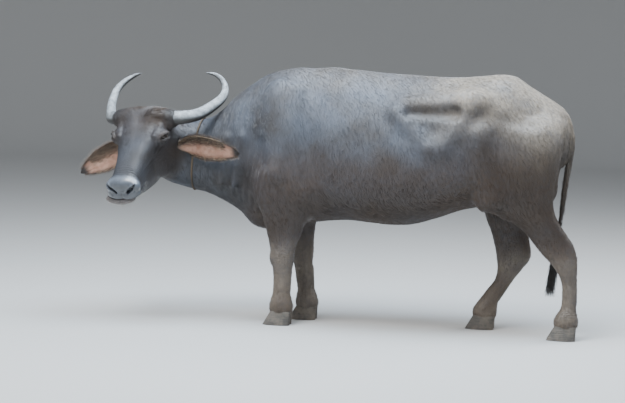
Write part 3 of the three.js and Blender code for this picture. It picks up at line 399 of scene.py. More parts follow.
def mirrored(q):
    """Head coordinates with the right side laid onto the left."""
    return np.stack([q[:, 0], np.abs(q[:, 1]), q[:, 2]], 1)


def nostril_field(q):
    both = mirrored(q)
    return np.minimum(nostrils[0](both), nostrils[1](both))


def slot_field(q):
    """The gap between the lips, which is set over to one side with the jaw."""
    return mouth_slot(q - np.array([0, CHEWED, 0]))


def to_eye(q, side):
    """Head coordinates to the eye's own: along the slit, up, out. side +1 is the left eye."""
    return (q * np.array([1, side, 1]) - EYE) @ EYE_AXES.T


def from_eye(e, side):
    """A direction in the eye's own axes, turned into the animal's."""
    return (e @ EYE_AXES * np.array([1, side, 1])) @ HEAD_AXES


# Skin and hair climb some way up each horn.
horn_sleeves = []
for s in (-1, 1):
    sleeve_root = to_head(from_poll(s * 50, -16, -34)[None])[0]
    sleeve_end = to_head(from_poll(s * 138, -10, -41)[None])[0]
    horn_sleeves.append(bone(sleeve_root, sleeve_end, 40, 33.5))


def head_field(q):
    both = mirrored(q)
    d = skull(q)
    for form, k in face_added:
        d = join(d, form(both), k)
    d = join(d, far_lip(q), 16)
    for form in horn_sleeves:
        d = join(d, form(q), 52)
    jaw = q - np.array([0, CHEWED, 0])
    d = join(d, chin(jaw), 18)
    d = join(d, lower_lip(jaw), 10)
    for form, k in face_carved:
        d = carve(d, form(both), k)
    for side in (-1, 1):
        e = to_eye(q, side)
        near = (e ** 2).sum(1) < 90 ** 2
        for form, k in lid_added:
            d[near] = join(d[near], form(e[near]), k)
    return d


# %% [markdown]
# ## Folds and bones under the skin
#
# What makes the animal real is what shows through its hide: the shoulder blade's
# ridge, the edge of the last rib, the fold of the flank, loose folds where the neck
# turns, tendons and joints in the legs. Each is a thin form joined on or carved out.

# %% Body relief
relief_added, relief_carved, jaw_groove = [], [], []
for s in (-1, 1):
    relief_added += [
        (bone([-548, s * 118, 1108], [-640, s * 206, 720], 6, 24), 70),     # shoulder blade's ridge
        (ball([-668, s * 150, 690], [52, 46, 60]), 40),                     # point of the shoulder
        (ball([-508, s * 176, 640], [58, 40, 76], [0, 20, 0]), 40),         # upper arm muscle
        (bone([300, s * 214, 930], [372, s * 206, 640], 40, 46), 60),       # front of the thigh
        (ball([338, s * 172, 640], [44, 44, 52]), 36),                      # stifle
        (bone([560, s * 150, 960], [600, s * 150, 690], 34, 40), 50),       # back of the thigh
        (bone([286, s * 166, 690], [150, s * 196, 640], 15, 8), 40),        # fold of the flank
        (bone([-60, s * 168, 1066], [232, s * 184, 1076], 12, 26), 16),     # ends of the loin bones
        (bone([262, s * 204, 1050], [136, s * 256, 850], 14, 4), 80),       # from the hip to the flank
        (bone([-80, s * 222, 1030], [84, s * 262, 870], 2, 3), 80),         # edge of the last rib
    ]
    relief_carved += [
        (bone([-490, s * 240, 1010], [-462, s * 268, 720], 8, 18), 80),     # behind the shoulder
        (bone([-10, s * 236, 1028], [196, s * 238, 1032], 20, 30), 24 if s < 0 else 38),  # under the loin
        (bone([650, s * 52, 1000], [664, s * 54, 800], 7, 8), 46),          # beside the tail
        (bone([330, s * 254, 1030], [560, s * 200, 1000], 12, 12), 50),     # under the hip bone
    ]
# Folds of the neck, where it swings round to the left, and the loose skin of the throat.
for x, y, z0, z1, r in ((-802, -164, 900, 640, 15), (-872, -154, 890, 650, 12), (-742, -184, 860, 590, 12)):
    relief_carved.append((bone([x + 26, y, z0], [x - 18, y, z1], r * 0.6, r), 44))
for x, z0, z1 in ((-838, 880, 650), (-908, 870, 660)):
    inwards = (x + 838) * -0.34
    relief_added.append((bone([x + 20, -116 + inwards, z0], [x - 12, -112 + inwards, z1], 9, 11), 44))
for s in (-1, 1):
    # The cheek's rear edge stands clear of the neck.
    jaw_groove.append(bone(from_head(8, s * 122, -186), from_head(44, s * 104, -318), 5, 17))
relief_added += [
    (bone([-980, 20, 640], [-760, 6, 506], 16, 34), 50),                    # throat and brisket fold
    (ball([-716, 0, 500], [90, 44, 52], [0, 24, 0]), 50),
]
# Tendons and joints.
relief_leg = []
for x0, x1, y, z0, z1 in ((-572, -574, -111, 250, 130), (-504, -496, 106, 250, 130),
                          (757, 762, -113, 380, 130), (520, 400, 103, 350, 150)):
    relief_leg.append((bone([x0, y, z0], [x1, y, z1], 13, 12), 14))
for x, y, z in ((-650, -111, 318), (-594, 109, 318)):
    relief_leg.append((ball([x, y, z], [17, 32, 34]), 16))


def flesh(p):
    """The whole animal: negative inside, positive outside, in millimetres."""
    x, z = p[:, 0], p[:, 2]
    d = trunk(p)

    def apply(where, form, rule, k):
        if where.any():
            d[where] = rule(d[where], form(p[where]), k)
    front, back, hind = x < -300, x > -200, x > 100
    apply(front, neck, join, 70)
    for shoulder_of, hip_of, hollow_of in sides:
        apply(x < -200, shoulder_of, join, 60)
        apply(back, hip_of, join, 60)
        apply(back, hollow_of, carve, 60)
    for name, form in LEGS.items():
        apply(front if name.startswith("fore") else hind, form, join, 44 if name.startswith("fore") else 50)
    apply(hind, udder, join, 40)
    shell = np.abs(d) < 90
    for form, k in relief_added:
        apply(shell, form, join, k)
    for form, k in relief_carved:
        apply(shell, form, carve, k)
    low_down = shell & (z < 620)
    for form, k in relief_leg:
        apply(low_down, form, join, k)
    for form in teats:
        apply(hind & (z > 480) & (z < 660), form, join, 14)
    for form in coronets:
        apply(z < 220, form, join, 40)
    for form in spurs:
        apply(z < 160, form, join, 8)
    apply(x > 540, tail, join, 9)
    q = to_head(p)
    face = ((q - [200, 0, -130]) ** 2).sum(1) < 480 ** 2
    if face.any():
        d[face] = join(d[face], head_field(q[face]), 26)
        for form in jaw_groove:
            apply(face, form, carve, 30)
    return d


# %% [markdown]
# ## From field to skin
#
# The field is sampled on a grid, first coarsely to find where the surface is, and
# then finely only there. Each grid cell that the surface crosses gets one point, and
# each crossed edge one face. This keeps the faces even, which an unwrap and later
# refining both like. The points are then pulled onto the coat's own depth inside
# the solid outline.

# %% Meshing the field
COAT_DEPTH = 2.5
GRID = np.array([13.0, 11.5, 13.0])


def settle(field, v, n, level, steps, most):
    """Moves points along the given normals until the field has the value level there."""
    for _ in range(steps):
        v = v - n * np.clip(field(v) - level, -most, most)[:, None]
    return v


def normals_of(points, faces):
    """Point normals, weighted by area."""
    a, b, c = (points[faces[:, i]] for i in (0, 1, -1))
    n = np.cross(b - a, c - a)
    out = np.zeros_like(points)
    for i in range(faces.shape[1]):
        for k in range(3):
            out[:, k] += np.bincount(faces[:, i], n[:, k], len(points))
    return out / (np.linalg.norm(out, axis=1, keepdims=True) + 1e-12)


def part_of(axis, piece):
    """An index that takes a slice on one axis and everything on the other two."""
    return tuple(piece if k == axis else slice(None) for k in range(3))


def mesh_of(field, low, high, cell):
    """Points and four-sided faces of the surface where the field changes sign."""
    block = 4
    start, end = slice(None, -1), slice(1, None)
    n = (np.ceil((high - low) / cell / block).astype(int) + 1) * block
    axes = [low[c] + np.arange(0, n[c] + 1, block) * cell[c] for c in range(3)]
    coarse = np.stack(np.meshgrid(*axes, indexing="ij"), -1).reshape(-1, 3)
    rough = field(coarse).reshape([len(a) for a in axes])
    near = np.abs(rough) < block * cell.max() * 1.9
    for c in range(3):
        wide = near.copy()
        wide[part_of(c, end)] |= near[part_of(c, start)]
        near = wide
    fine = rough
    for c in range(3):
        fine = np.repeat(fine, block, axis=c)
        near = np.repeat(near, block, axis=c)
    at = np.argwhere(near)
    fine = fine.copy()
    fine[near] = field(low + at * cell)
    inside = fine < 0
    shape = np.array(inside.shape)
    total = np.zeros((shape.prod(), 3))
    count = np.zeros(shape.prod())
    crossings = []
    for c in range(3):
        first, second = part_of(c, start), part_of(c, end)
        where = np.argwhere(inside[first] != inside[second])
        a, b = fine[first][tuple(where.T)], fine[second][tuple(where.T)]
        point = where.astype(float)
        point[:, c] += a / (a - b)
        u, v = (c + 1) % 3, (c + 2) % 3
        cells = []
        for du, dv in ((0, 0), (1, 0), (1, 1), (0, 1)):
            here = where.copy()
            here[:, u] -= du
            here[:, v] -= dv
            cells.append((here[:, 0] * shape[1] + here[:, 1]) * shape[2] + here[:, 2])
            for k in range(3):
                total[:, k] += np.bincount(cells[-1], point[:, k], len(total))
            count += np.bincount(cells[-1], minlength=len(total))
        quad = np.stack(cells, 1)
        quad[a > 0] = quad[a > 0][:, ::-1]
        crossings.append(quad)
    used = np.flatnonzero(count)
    number = np.full(len(count), -1)
    number[used] = np.arange(len(used))
    points = low + total[used] / count[used][:, None] * cell
    return points, number[np.vstack(crossings)]


def largest(points, faces):
    """Keeps the one connected surface with the most faces."""
    label = np.arange(len(points))
    while True:
        low = label[faces].min(1)
        new = label.copy()
        for i in range(faces.shape[1]):
            np.minimum.at(new, faces[:, i], low)
        new = new[new]
        if (new == label).all():
            break
        label = new
    keep = label[faces[:, 0]] == np.bincount(label[faces[:, 0]]).argmax()
    used, back = np.unique(faces[keep], return_inverse=True)
    return points[used], back.reshape(-1, faces.shape[1])


LOW, HIGH = np.array([-1520.0, -500.0, 40.0]), np.array([830.0, 345.0, 1260.0])
raw, quads = largest(*mesh_of(flesh, LOW, HIGH, GRID))
raw = settle(flesh, raw, normals_of(raw, quads), -COAT_DEPTH, 3, 5)
print("first skin:", len(raw), "points,", len(quads), "faces")


# %% [markdown]
# ## Unwrap
#
# The skin is unwrapped while it is still light. Every finer triangle later takes
# its place from the one it came out of, and every tuft of hair takes the place of
# its root, so skin and coat share one map of the animal's own shape.

# %% Unwrapping the light skin
def mesh_object(name, points, faces, smooth_faces=True):
    """A mesh object from arrays of points in the animal's own frame and of faces."""
    mesh = bpy.data.meshes.new(name)
    faces = np.asarray(faces)
    mesh.vertices.add(len(points))
    mesh.vertices.foreach_set("co", metres(points).astype(np.float32).ravel())
    mesh.loops.add(faces.size)
    mesh.loops.foreach_set("vertex_index", faces.ravel().astype(np.int32))
    mesh.polygons.add(len(faces))
    mesh.polygons.foreach_set("loop_start", np.arange(0, faces.size, faces.shape[1], dtype=np.int32))
    mesh.update(calc_edges=True)
    mesh.polygons.foreach_set("use_smooth", np.full(len(faces), smooth_faces))
    obj = bpy.data.objects.new(name, mesh)
    bpy.context.collection.objects.link(obj)
    return obj


light = mesh_object("light_skin", raw, quads)
bpy.context.view_layer.objects.active = light
light.select_set(True)
bpy.ops.object.mode_set(mode="EDIT")
bpy.ops.mesh.select_all(action="SELECT")
bpy.ops.uv.smart_project(angle_limit=math.radians(66), island_margin=0.002)
bpy.ops.object.mode_set(mode="OBJECT")
uv = np.zeros(len(light.data.loops) * 2, np.float32)
light.data.uv_layers.active.data.foreach_get("uv", uv)
uv = uv.reshape(-1, 4, 2).astype(float)
bpy.data.objects.remove(light)
print("unwrap spans", uv.min((0, 1)).round(3), uv.max((0, 1)).round(3))

# %% [markdown]
# ## Finer where it matters
#
# Legs and head need more points than the flank, and lids and lips more again. A
# triangle edge is halved where it lies in such a region, and the new points are
# pulled onto the field. Neighbours share the halved edges, so the skin stays whole.

# %% Splitting edges by region
short = np.linalg.norm(raw[quads[:, 0]] - raw[quads[:, 2]], axis=1) \
    <= np.linalg.norm(raw[quads[:, 1]] - raw[quads[:, 3]], axis=1)
corner = np.where(short[:, None], [0, 1, 2, 0, 2, 3], [0, 1, 3, 1, 2, 3])
rows = np.arange(len(quads))[:, None]
skin_faces = quads[rows, corner].reshape(-1, 3)
skin_uv = uv[rows, corner].reshape(-1, 3, 2)
skin_points = raw


def split(points, faces, uvs, wanted):
    """Halves each edge whose middle is in the wanted region."""
    nxt = [1, 2, 0]
    ends = np.sort(np.stack([faces, faces[:, nxt]], -1), -1)
    key = ends[..., 0].astype(np.int64) * len(points) + ends[..., 1]
    edge, back = np.unique(key, return_inverse=True)
    back = back.reshape(key.shape)
    a, b = edge // len(points), edge % len(points)
    middle = (points[a] + points[b]) / 2
    cut = wanted(middle)
    number = np.full(len(edge), -1)
    number[cut] = len(points) + np.arange(cut.sum())
    mid = number[back]
    mid_uv = (uvs + uvs[:, nxt]) / 2
    many = (mid >= 0).sum(1)
    out_f, out_u = [faces[many == 0]], [uvs[many == 0]]
    for k in (1, 2, 3):
        pick = many == k
        f, u, m, mu = faces[pick], uvs[pick], mid[pick], mid_uv[pick]
        if k < 3:
            # Turned so that the one cut edge, or the one uncut edge, comes first.
            turn = np.argmax((m >= 0) if k == 1 else (m < 0), axis=1)
            order = (turn[:, None] + np.arange(3)) % 3
            r = np.arange(len(f))[:, None]
            f, u, m, mu = f[r, order], u[r, order], m[r, order], mu[r, order]
        if k == 1:
            made = [((f, 0), (m, 0), (f, 2)), ((m, 0), (f, 1), (f, 2))]
        elif k == 2:
            made = [((f, 2), (m, 2), (m, 1)), ((m, 2), (f, 0), (m, 1)), ((f, 0), (f, 1), (m, 1))]
        else:
            made = [((f, 0), (m, 0), (m, 2)), ((m, 0), (f, 1), (m, 1)), ((m, 2), (m, 1), (f, 2)),
                    ((m, 0), (m, 1), (m, 2))]
        for tri in made:
            out_f.append(np.stack([src[:, i] for src, i in tri], 1))
            out_u.append(np.stack([(u if src is f else mu)[:, i] for src, i in tri], 1))
    return np.vstack([points, middle[cut]]), np.vstack(out_f), np.vstack(out_u)


def face_region(p):
    q = to_head(p)
    return (((q - [210, 0, -110]) / [310, 190, 210]) ** 2).sum(1) < 1


def fine_region(p):
    """Legs, tail, udder, head and the near side of the neck."""
    legs = (p[:, 2] < 500) & (p[:, 0] > -760)
    rump_tail = (p[:, 0] > 640) & (np.abs(p[:, 1]) < 60)
    neck_side = (p[:, 0] < -700) & (p[:, 0] > -1150) & (p[:, 1] < -40)
    under = (p[:, 0] > 330) & (p[:, 0] < 500) & (p[:, 2] < 640) & (np.abs(p[:, 1]) < 90)
    return legs | rump_tail | under | neck_side | face_region(p)


def finest_region(p):
    """Lids, nose pad, lips and nostrils."""
    q = to_head(p)
    eyes = np.minimum(*(((to_eye(q, s) / [58, 50, 60]) ** 2).sum(1) for s in (-1, 1))) < 1
    muzzle = (q[:, 0] > 345) & (q[:, 0] < 520)
    return eyes | muzzle


def close_region(p):
    """The slits of the eyes, the nostrils and the line between the lips."""
    q = to_head(p)
    eyes = np.minimum(*(((to_eye(q, s) / [38, 26, 40]) ** 2).sum(1) for s in (-1, 1))) < 1
    nostril = (((mirrored(q) - [446, 50, -62]) / [50, 36, 30]) ** 2).sum(1) < 1
    lips = (q[:, 0] > 380) & (np.abs(q[:, 2] - mouth_height(q)) < 14)
    return eyes | nostril | lips


def mouth_height(q):
    """Height of the line between the lips, in the head's own axes."""
    return -116 - 0.05 * (450 - q[:, 0])


REGIONS = ((fine_region, 3.0), (face_region, 2.0), (finest_region, 1.2), (close_region, 0.8))
for region, most in REGIONS:
    before = len(skin_points)
    skin_points, skin_faces, skin_uv = split(skin_points, skin_faces, skin_uv, region)
    outward = normals_of(skin_points, skin_faces)[before:]
    skin_points[before:] = settle(flesh, skin_points[before:], outward, -COAT_DEPTH, 2, most)
    print("skin:", len(skin_points), "points,", len(skin_faces), "triangles")

# %% [markdown]
# ## Lids, lips and wrinkles
#
# Clay is pushed in or pulled out along the skin's own normals: the half-closed slit
# of each eye, the creases of the lids, the line between the lips, the folds across
# the bridge of the nose and the fine pleats of the neck.

# %% Noise for shapes and markings
lattice = np.random.default_rng(5).random((32, 32, 32))


def noise(p, size, shift=0.0):
    """Smooth random values between -1 and 1, with features about size across."""
    g = p / size + shift
    i = np.floor(g).astype(int)
    f = g - i
    f = f * f * (3 - 2 * f)
    out = np.zeros(len(p))
    for dx in (0, 1):
        for dy in (0, 1):
            for dz in (0, 1):
                weight = np.abs(1 - dx - f[:, 0]) * np.abs(1 - dy - f[:, 1]) * np.abs(1 - dz - f[:, 2])
                out += weight * lattice[(i[:, 0] + dx) % 32, (i[:, 1] + dy) % 32, (i[:, 2] + dz) % 32]
    return out * 2 - 1


def hump(x, width):
    """A bell: 1 where x is 0, and near 0 two widths away."""
    return np.exp(-(x / width) ** 2)


# %% Sculpting
EYE_HALF, EYE_OPEN, LID_LINE = 25.0, 7.6, -2.0
EYE_FLOOR = 9.0


def slit_of(e):
    """Opening of the eye at a place along the slit, and height above its middle."""
    along_slit = np.clip(np.abs(e[:, 0]) / EYE_HALF, 0, 1)
    opening = EYE_OPEN * np.sqrt(1 - along_slit ** 2)
    return opening, e[:, 1] - LID_LINE + 2.0 * along_slit ** 2


def sculpt(p, n):
    q = to_head(p)
    push = 1.3 * noise(p, 95) + 0.6 * noise(p, 38, 3.1)
    on_head = face_region(p)
    push *= np.where(on_head, 0.5, 1.0)
    # Pleats where the neck turns.
    neck_side = smooth(p[:, 0], -1120, -1040) * smooth(-p[:, 0], 640, 720) * smooth(-p[:, 1], 20, 90)
    pleat = np.sin((p[:, 0] - 0.16 * (p[:, 2] - 760) + 14 * noise(p, 90)) / 33 * 2 * math.pi)
    push += neck_side * (1.3 * pleat * smooth(noise(p, 120, 7.7), -0.5, 0.4))
    # Knees and hocks have thick, folded skin.
    joint = hump(p[:, 2] - 320, 46) * (p[:, 0] < -400) + hump(p[:, 2] - 392, 50) * (p[:, 0] > 240)
    push += joint * 0.8 * np.sin((p[:, 2] + 5 * noise(p, 30)) / 11 * 2 * math.pi)
    fetlock = hump(p[:, 2] - 122, 30)
    push += fetlock * 0.7 * np.sin((p[:, 2] + 4 * noise(p, 26)) / 10 * 2 * math.pi)
    # Mouth line, from the lips back to the corner of the cheek.
    jaw_line = q[:, 2] - mouth_height(q)
    inside_mouth = smooth(q[:, 0], 322, 344) * smooth(-q[:, 0], -478, -468) * on_head
    push -= inside_mouth * (7.0 * hump(jaw_line, 3.0) + 1.6 * hump(jaw_line, 9.0))
    push += inside_mouth * 1.8 * (hump(jaw_line - 9, 5) + hump(jaw_line + 9, 5))
    # Folds over the bridge of the nose and beside the nostril.
    bridge = smooth(q[:, 0], 318, 338) * smooth(-q[:, 0], -400, -384) * smooth(q[:, 2], -90, -62) * on_head
    push += bridge * (0.8 + 0.5 * noise(p, 22, 6.0)) * np.sin(
        (q[:, 0] - 0.0022 * q[:, 1] ** 2 + 7 * noise(p, 34)) / 11.5 * 2 * math.pi)
    # Vein and fold under the eye, down the cheek.
    side = np.abs(q[:, 1])
    for height, strength in ((-96, 2.4), (-128, 1.6)):
        line = q[:, 2] - (height + 0.16 * (q[:, 0] - 150) + 5 * noise(p, 60, 1.3))
        push += strength * hump(line, 5) * smooth(q[:, 0], 150, 190) * smooth(-q[:, 0], -330, -280) \
            * (side > 40) * on_head
    out = p + n * push[:, None]
    # Nostrils and the gap between the lips are pressed deep into the muzzle.
    nostril = nostril_field(q)
    out -= n * (17 * smooth(-nostril, -1.5, 4.5) * on_head)[:, None]
    gap = slot_field(q)
    out -= NOSE * (18 * smooth(-gap, -1.0, 3.5) * smooth(q[:, 0], 386, 410) * on_head)[:, None]
    out += n * (1.6 * hump(nostril - 4, 3.5) * on_head)[:, None]
    for s in (-1, 1):
        e = to_eye(q, s)
        near = np.flatnonzero((e ** 2).sum(1) < 75 ** 2)
        e = e[near]
        front = smooth(e[:, 2], -4, 8)
        opening, height = slit_of(e)
        crease = np.zeros(len(e))
        arch = 0.010 * e[:, 0] ** 2
        for k, (gap, deep) in enumerate(((6.5, 1.9), (12.0, 2.1), (18.0, 1.8), (25.0, 1.3))):
            crease -= deep * hump(height - opening * 0.4 - gap + arch * (1 - 0.1 * k), 1.5)
            crease += 0.7 * deep * hump(height - opening * 0.4 - gap - 2.8 + arch * (1 - 0.1 * k), 1.8)
        for k, (gap, deep) in enumerate(((6.0, 1.5), (11.5, 1.7), (18.0, 1.3))):
            crease -= deep * hump(height + opening * 0.4 + gap - arch, 1.5)
            crease += 0.7 * deep * hump(height + opening * 0.4 + gap + 2.8 - arch, 1.8)
        crease *= smooth(46 - np.abs(e[:, 0]), 0, 16)
        # Rolled rim of each lid.
        crease += 1.5 * hump(np.abs(height) - opening - 2.0, 1.6) * smooth(30 - np.abs(e[:, 0]), 0, 6)
        # Corners: crow's feet behind, tear corner in front.
        crease -= 1.6 * hump(height + 0.5, 1.5) * smooth(np.abs(e[:, 0]), 22, 26) \
            * smooth(44 - np.abs(e[:, 0]), 0, 10)
        out[near] += n[near] * (crease * front)[:, None]
        sunk = smooth(opening + 0.7 - np.abs(height), 0, 1.5) * (np.abs(e[:, 0]) < EYE_HALF) * front
        inward = EYE_AXES[2] * np.array([1, s, 1]) @ HEAD_AXES
        out[near] -= (sunk * np.maximum(e[:, 2] - EYE_FLOOR, 0))[:, None] * inward
    return out


skin_points = sculpt(skin_points, normals_of(skin_points, skin_faces))
skin_normals = normals_of(skin_points, skin_faces)

# %% [markdown]
# ## Markings and painted light
#
# A swamp buffalo is slate grey. Dust lies pale on the loin and rump, and the pale patch
# on the pin bone is partly a painted highlight. Mud dries brown on the legs and lower
# flank, where the brown is partly painted shade, and the brow is brown. The lower lip,
# the lids and the inner corner of the eye are bare and paler, and the nose pad is wet.
# Shade is painted dark into hollows, creases, the slits of the eyes, the nostrils, the
# mouth and low down on the body. Skin and coat read the same function.

# %% Markings and painted light: dust, mud, bare skin, dark skin and painted shade
def marks_and_shade(p, n):
    """Dust with a painted highlight, brown with painted shade, bare, and dark, mostly painted shade, each 0 to 1,
    in one array, and how wet the skin is.
    """
    q = to_head(p)
    beside = np.abs(q[:, 1])
    x, y, z = p.T
    head = smooth(360 - np.sqrt((((q - [190, 0, -110]) / [1.05, 0.62, 0.68]) ** 2).sum(1)), 0, 90)
    drift, fleck = noise(p, 170, 2.0), noise(p, 60, 9.0)
    level = z + 30 * drift
    # Dust settles on what faces up, from the loin back over the hip to the pin bone. The pale patch on the pin
    # bone is partly a painted highlight, and the dust is thinned in the hollow of the flank as painted shade.
    dust_and_highlight = smooth(x, -150, 330) * smooth(level, 860, 1090) * (0.5 + 0.5 * smooth(n[:, 2], -0.3, 0.6))
    dust_and_highlight += 0.85 * hump(np.hypot(x - 600, (z - 960) * 0.9), 150) * (n[:, 0] > -0.5)
    dust_and_highlight += 0.30 * smooth(level, 1080, 1180) * smooth(x, -760, -500) * (1 - smooth(x, -150, 50))
    dust_and_highlight += 0.35 * hump(np.hypot(x - 210, z - 1085), 110)
    dust_and_highlight *= 1 - 0.62 * hump(np.hypot((x - 92) * 0.62, z - 962), 92)
    dust_and_highlight += 0.45 * smooth(x, 672, 700) * smooth(46 - np.abs(y), 0, 12) * smooth(z, 560, 640)
    dust_and_highlight = dust_and_highlight * (0.8 + 0.3 * fleck) + (0.42 + 0.25 * fleck) * smooth(-level, -430, -320)
    # Mud and warm brown low down; on the lower flank and the thigh this brown is partly painted shade.
    brown = smooth(-level, -930, -640) * smooth(x, -900, -700)
    brown += 0.9 * hump(np.hypot(x - 500, (z - 740) * 0.8), 230)
    brown = np.where(head > 0.5, 0.0, brown)
    brown += head * (0.95 * smooth(q[:, 2], -130, -20) * smooth(250 - q[:, 0], 0, 230) * (0.8 + 0.5 * fleck)
                     + 0.45 * smooth(-q[:, 2], 60, 150))
    brown *= 0.85 + 0.35 * drift
    patch = 0.75 * hump(np.hypot(x + 640, z - 330), 62) * (y < 0) * (x < -560)
    brown = np.maximum(brown, patch)
    # Bare, paler skin: lower lip, lids, inner corner of the eye.
    lip = smooth(q[:, 0], 424, 442) * smooth(-q[:, 2], 119, 124) * (q[:, 2] > -168) * (0.72 + 0.3 * noise(p, 9))
    bare = lip * head
    dark = np.zeros(len(p))
    for s in (-1, 1):
        e = to_eye(q, s)
        opening, height = slit_of(e)
        lids = smooth(e[:, 2], 0, 10) * (np.abs(e[:, 0]) < 34)
        around = hump(np.hypot(e[:, 0] * 0.8, e[:, 1]), 34 if s > 0 else 46) * (e[:, 2] > -10)
        bare = np.maximum.reduce([
            bare,
            0.22 * lids * hump(np.abs(height) - opening - 4.5, 2.2),
            0.30 * lids * hump(height - opening - 11, 6) * (height > 0),
            0.5 * lids * hump(e[:, 0] - 27, 5) * hump(height, 5)])
        # Round each eye: the dark rim along the slit is the lid margin with painted shade of the lids, and the
        # sunk skin in the slit and the mark past the outer corner are painted shade; the dark skin round the eye
        # is its own, deepened round the far eye as painted shade.
        dark = np.maximum.reduce([
            dark,
            0.85 * lids * hump(np.abs(height) - opening - 1.2, 3.2),
            (0.40 if s > 0 else 0.66) * around,
            lids * smooth(opening + 0.4 - np.abs(height), 0, 1.0) * (np.abs(e[:, 0]) < EYE_HALF),
            0.55 * hump(e[:, 0] + 40, 14) * hump(e[:, 1], 22) * (e[:, 2] > -20)])
        brown = np.maximum(brown, 0.75 * around)
    under_pad = smooth(q[:, 0], 420, 446) * hump(q[:, 2] + 108, 11) * hump(q[:, 1] + 8, 46)
    pad = smooth(q[:, 0], 372, 408) * smooth(q[:, 2], -112, -98) * head
    dark = np.maximum.reduce([
        dark,
        # Painted shade in the nostrils, the gap between the lips, under the nose pad and along the line of the
        # mouth.
        smooth(-nostril_field(q), -2.5, 3.0) * head,
        smooth(-slot_field(q), -2.0, 2.0) * smooth(q[:, 0], 386, 410) * head,
        0.6 * under_pad * head,
        hump(q[:, 2] - mouth_height(q), 3.4) * smooth(q[:, 0], 330, 352) * head,
        # Painted shade in the hollow of the neck fold and under the ledge of the loin.
        0.80 * hump(np.hypot(x + 788, (z - 690) * 0.72), 62) * (y < 0),
        0.34 * hump(np.hypot((x - 90) * 0.7, z - 1000), 52),
        # Low down the animal shades itself: belly, thighs, brisket and tops of the legs.
        0.38 * smooth(-n[:, 2], 0.15, 0.85) * (z > 420),
        0.60 * hump(np.hypot(x - 490, (z - 720) * 0.8), 215),
        0.36 * smooth(-level, -800, -560) * smooth(z, 400, 470) * smooth(x, -820, -700),
        0.50 * hump(np.hypot(x + 770, (z - 600) * 0.8), 130),
        0.30 * hump(z - 500, 90) * (np.abs(x + 300) > 100),
        # Painted shade in the hollows of the temples, behind the jaw and on the down-facing parts of the nose
        # pad; darker round the horn roots and over the whole face.
        0.5 * hump(np.hypot(q[:, 0] - 74, q[:, 2] + 18), 30) * (beside > 80) * head,
        0.7 * smooth(-q[:, 2], 236, 292) * smooth(130 - q[:, 0], 0, 60) * smooth(-x, 1000, 1060)
        * smooth(z, 560, 640),
        0.75 * smooth(beside, 104, 128) * (q[:, 0] < 70) * (q[:, 2] > -100) * (x < -1100),
        0.52 * pad * smooth(-n[:, 2], -0.5, 0.35),
        head * (1 - pad) * (0.28 + 0.22 * smooth(q[:, 0], 90, 260) + 0.14 * fleck)])
    return np.clip(np.stack([dust_and_highlight, brown, bare, dark], 1), 0, 1), pad


skin_marks_and_shade, skin_wet = marks_and_shade(skin_points, skin_normals)


def add_colour(mesh, name, values):
    layer = mesh.color_attributes.new(name, "FLOAT_COLOR", "POINT")
    layer.data.foreach_set("color", np.ascontiguousarray(values, np.float32).ravel())


def add_uv(mesh, corners):
    mesh.uv_layers.new(name="OFBake").data.foreach_set("uv", np.ascontiguousarray(corners, np.float32).ravel())


hide = mesh_object("skin", skin_points, skin_faces)
add_uv(hide.data, skin_uv)
add_colour(hide.data, "marks", skin_marks_and_shade)
add_colour(hide.data, "wet", np.stack([skin_wet, skin_wet, skin_wet, np.ones(len(skin_wet))], 1))
legs_of = [f"{end}_{side}" for end in ("foreleg", "hindleg") for side in ("left", "right")]
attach(hide, "root")
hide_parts("torso", "neck", "head", "muzzle", "eyelids_left", "eyelids_right", "tail_dock",
            *[f"{leg}_{part}" for leg in legs_of for part in ("upper", "lower")])
print("skin object:", len(skin_points), "points")

# %% [markdown]
# ## Colours and materials
#
# One shader group turns the markings, with their painted highlight and shade, into colour, so skin, hair and bare
# lid agree.
# A second gives the fine grain of hide: short vertical streaks of hair, pores and
# small cracks. Dust is a dry film, so it is lighter than the hide.

# %% Shader tools
def new_group(name, inputs, outputs):
    group = bpy.data.node_groups.new(name, "ShaderNodeTree")
    for kind, label, value in inputs:
        socket = group.interface.new_socket(label, in_out="INPUT", socket_type=kind)
        if value is not None:
            socket.default_value = value
    for kind, label in outputs:
        group.interface.new_socket(label, in_out="OUTPUT", socket_type=kind)
    return group, group.nodes.new("NodeGroupInput"), group.nodes.new("NodeGroupOutput")


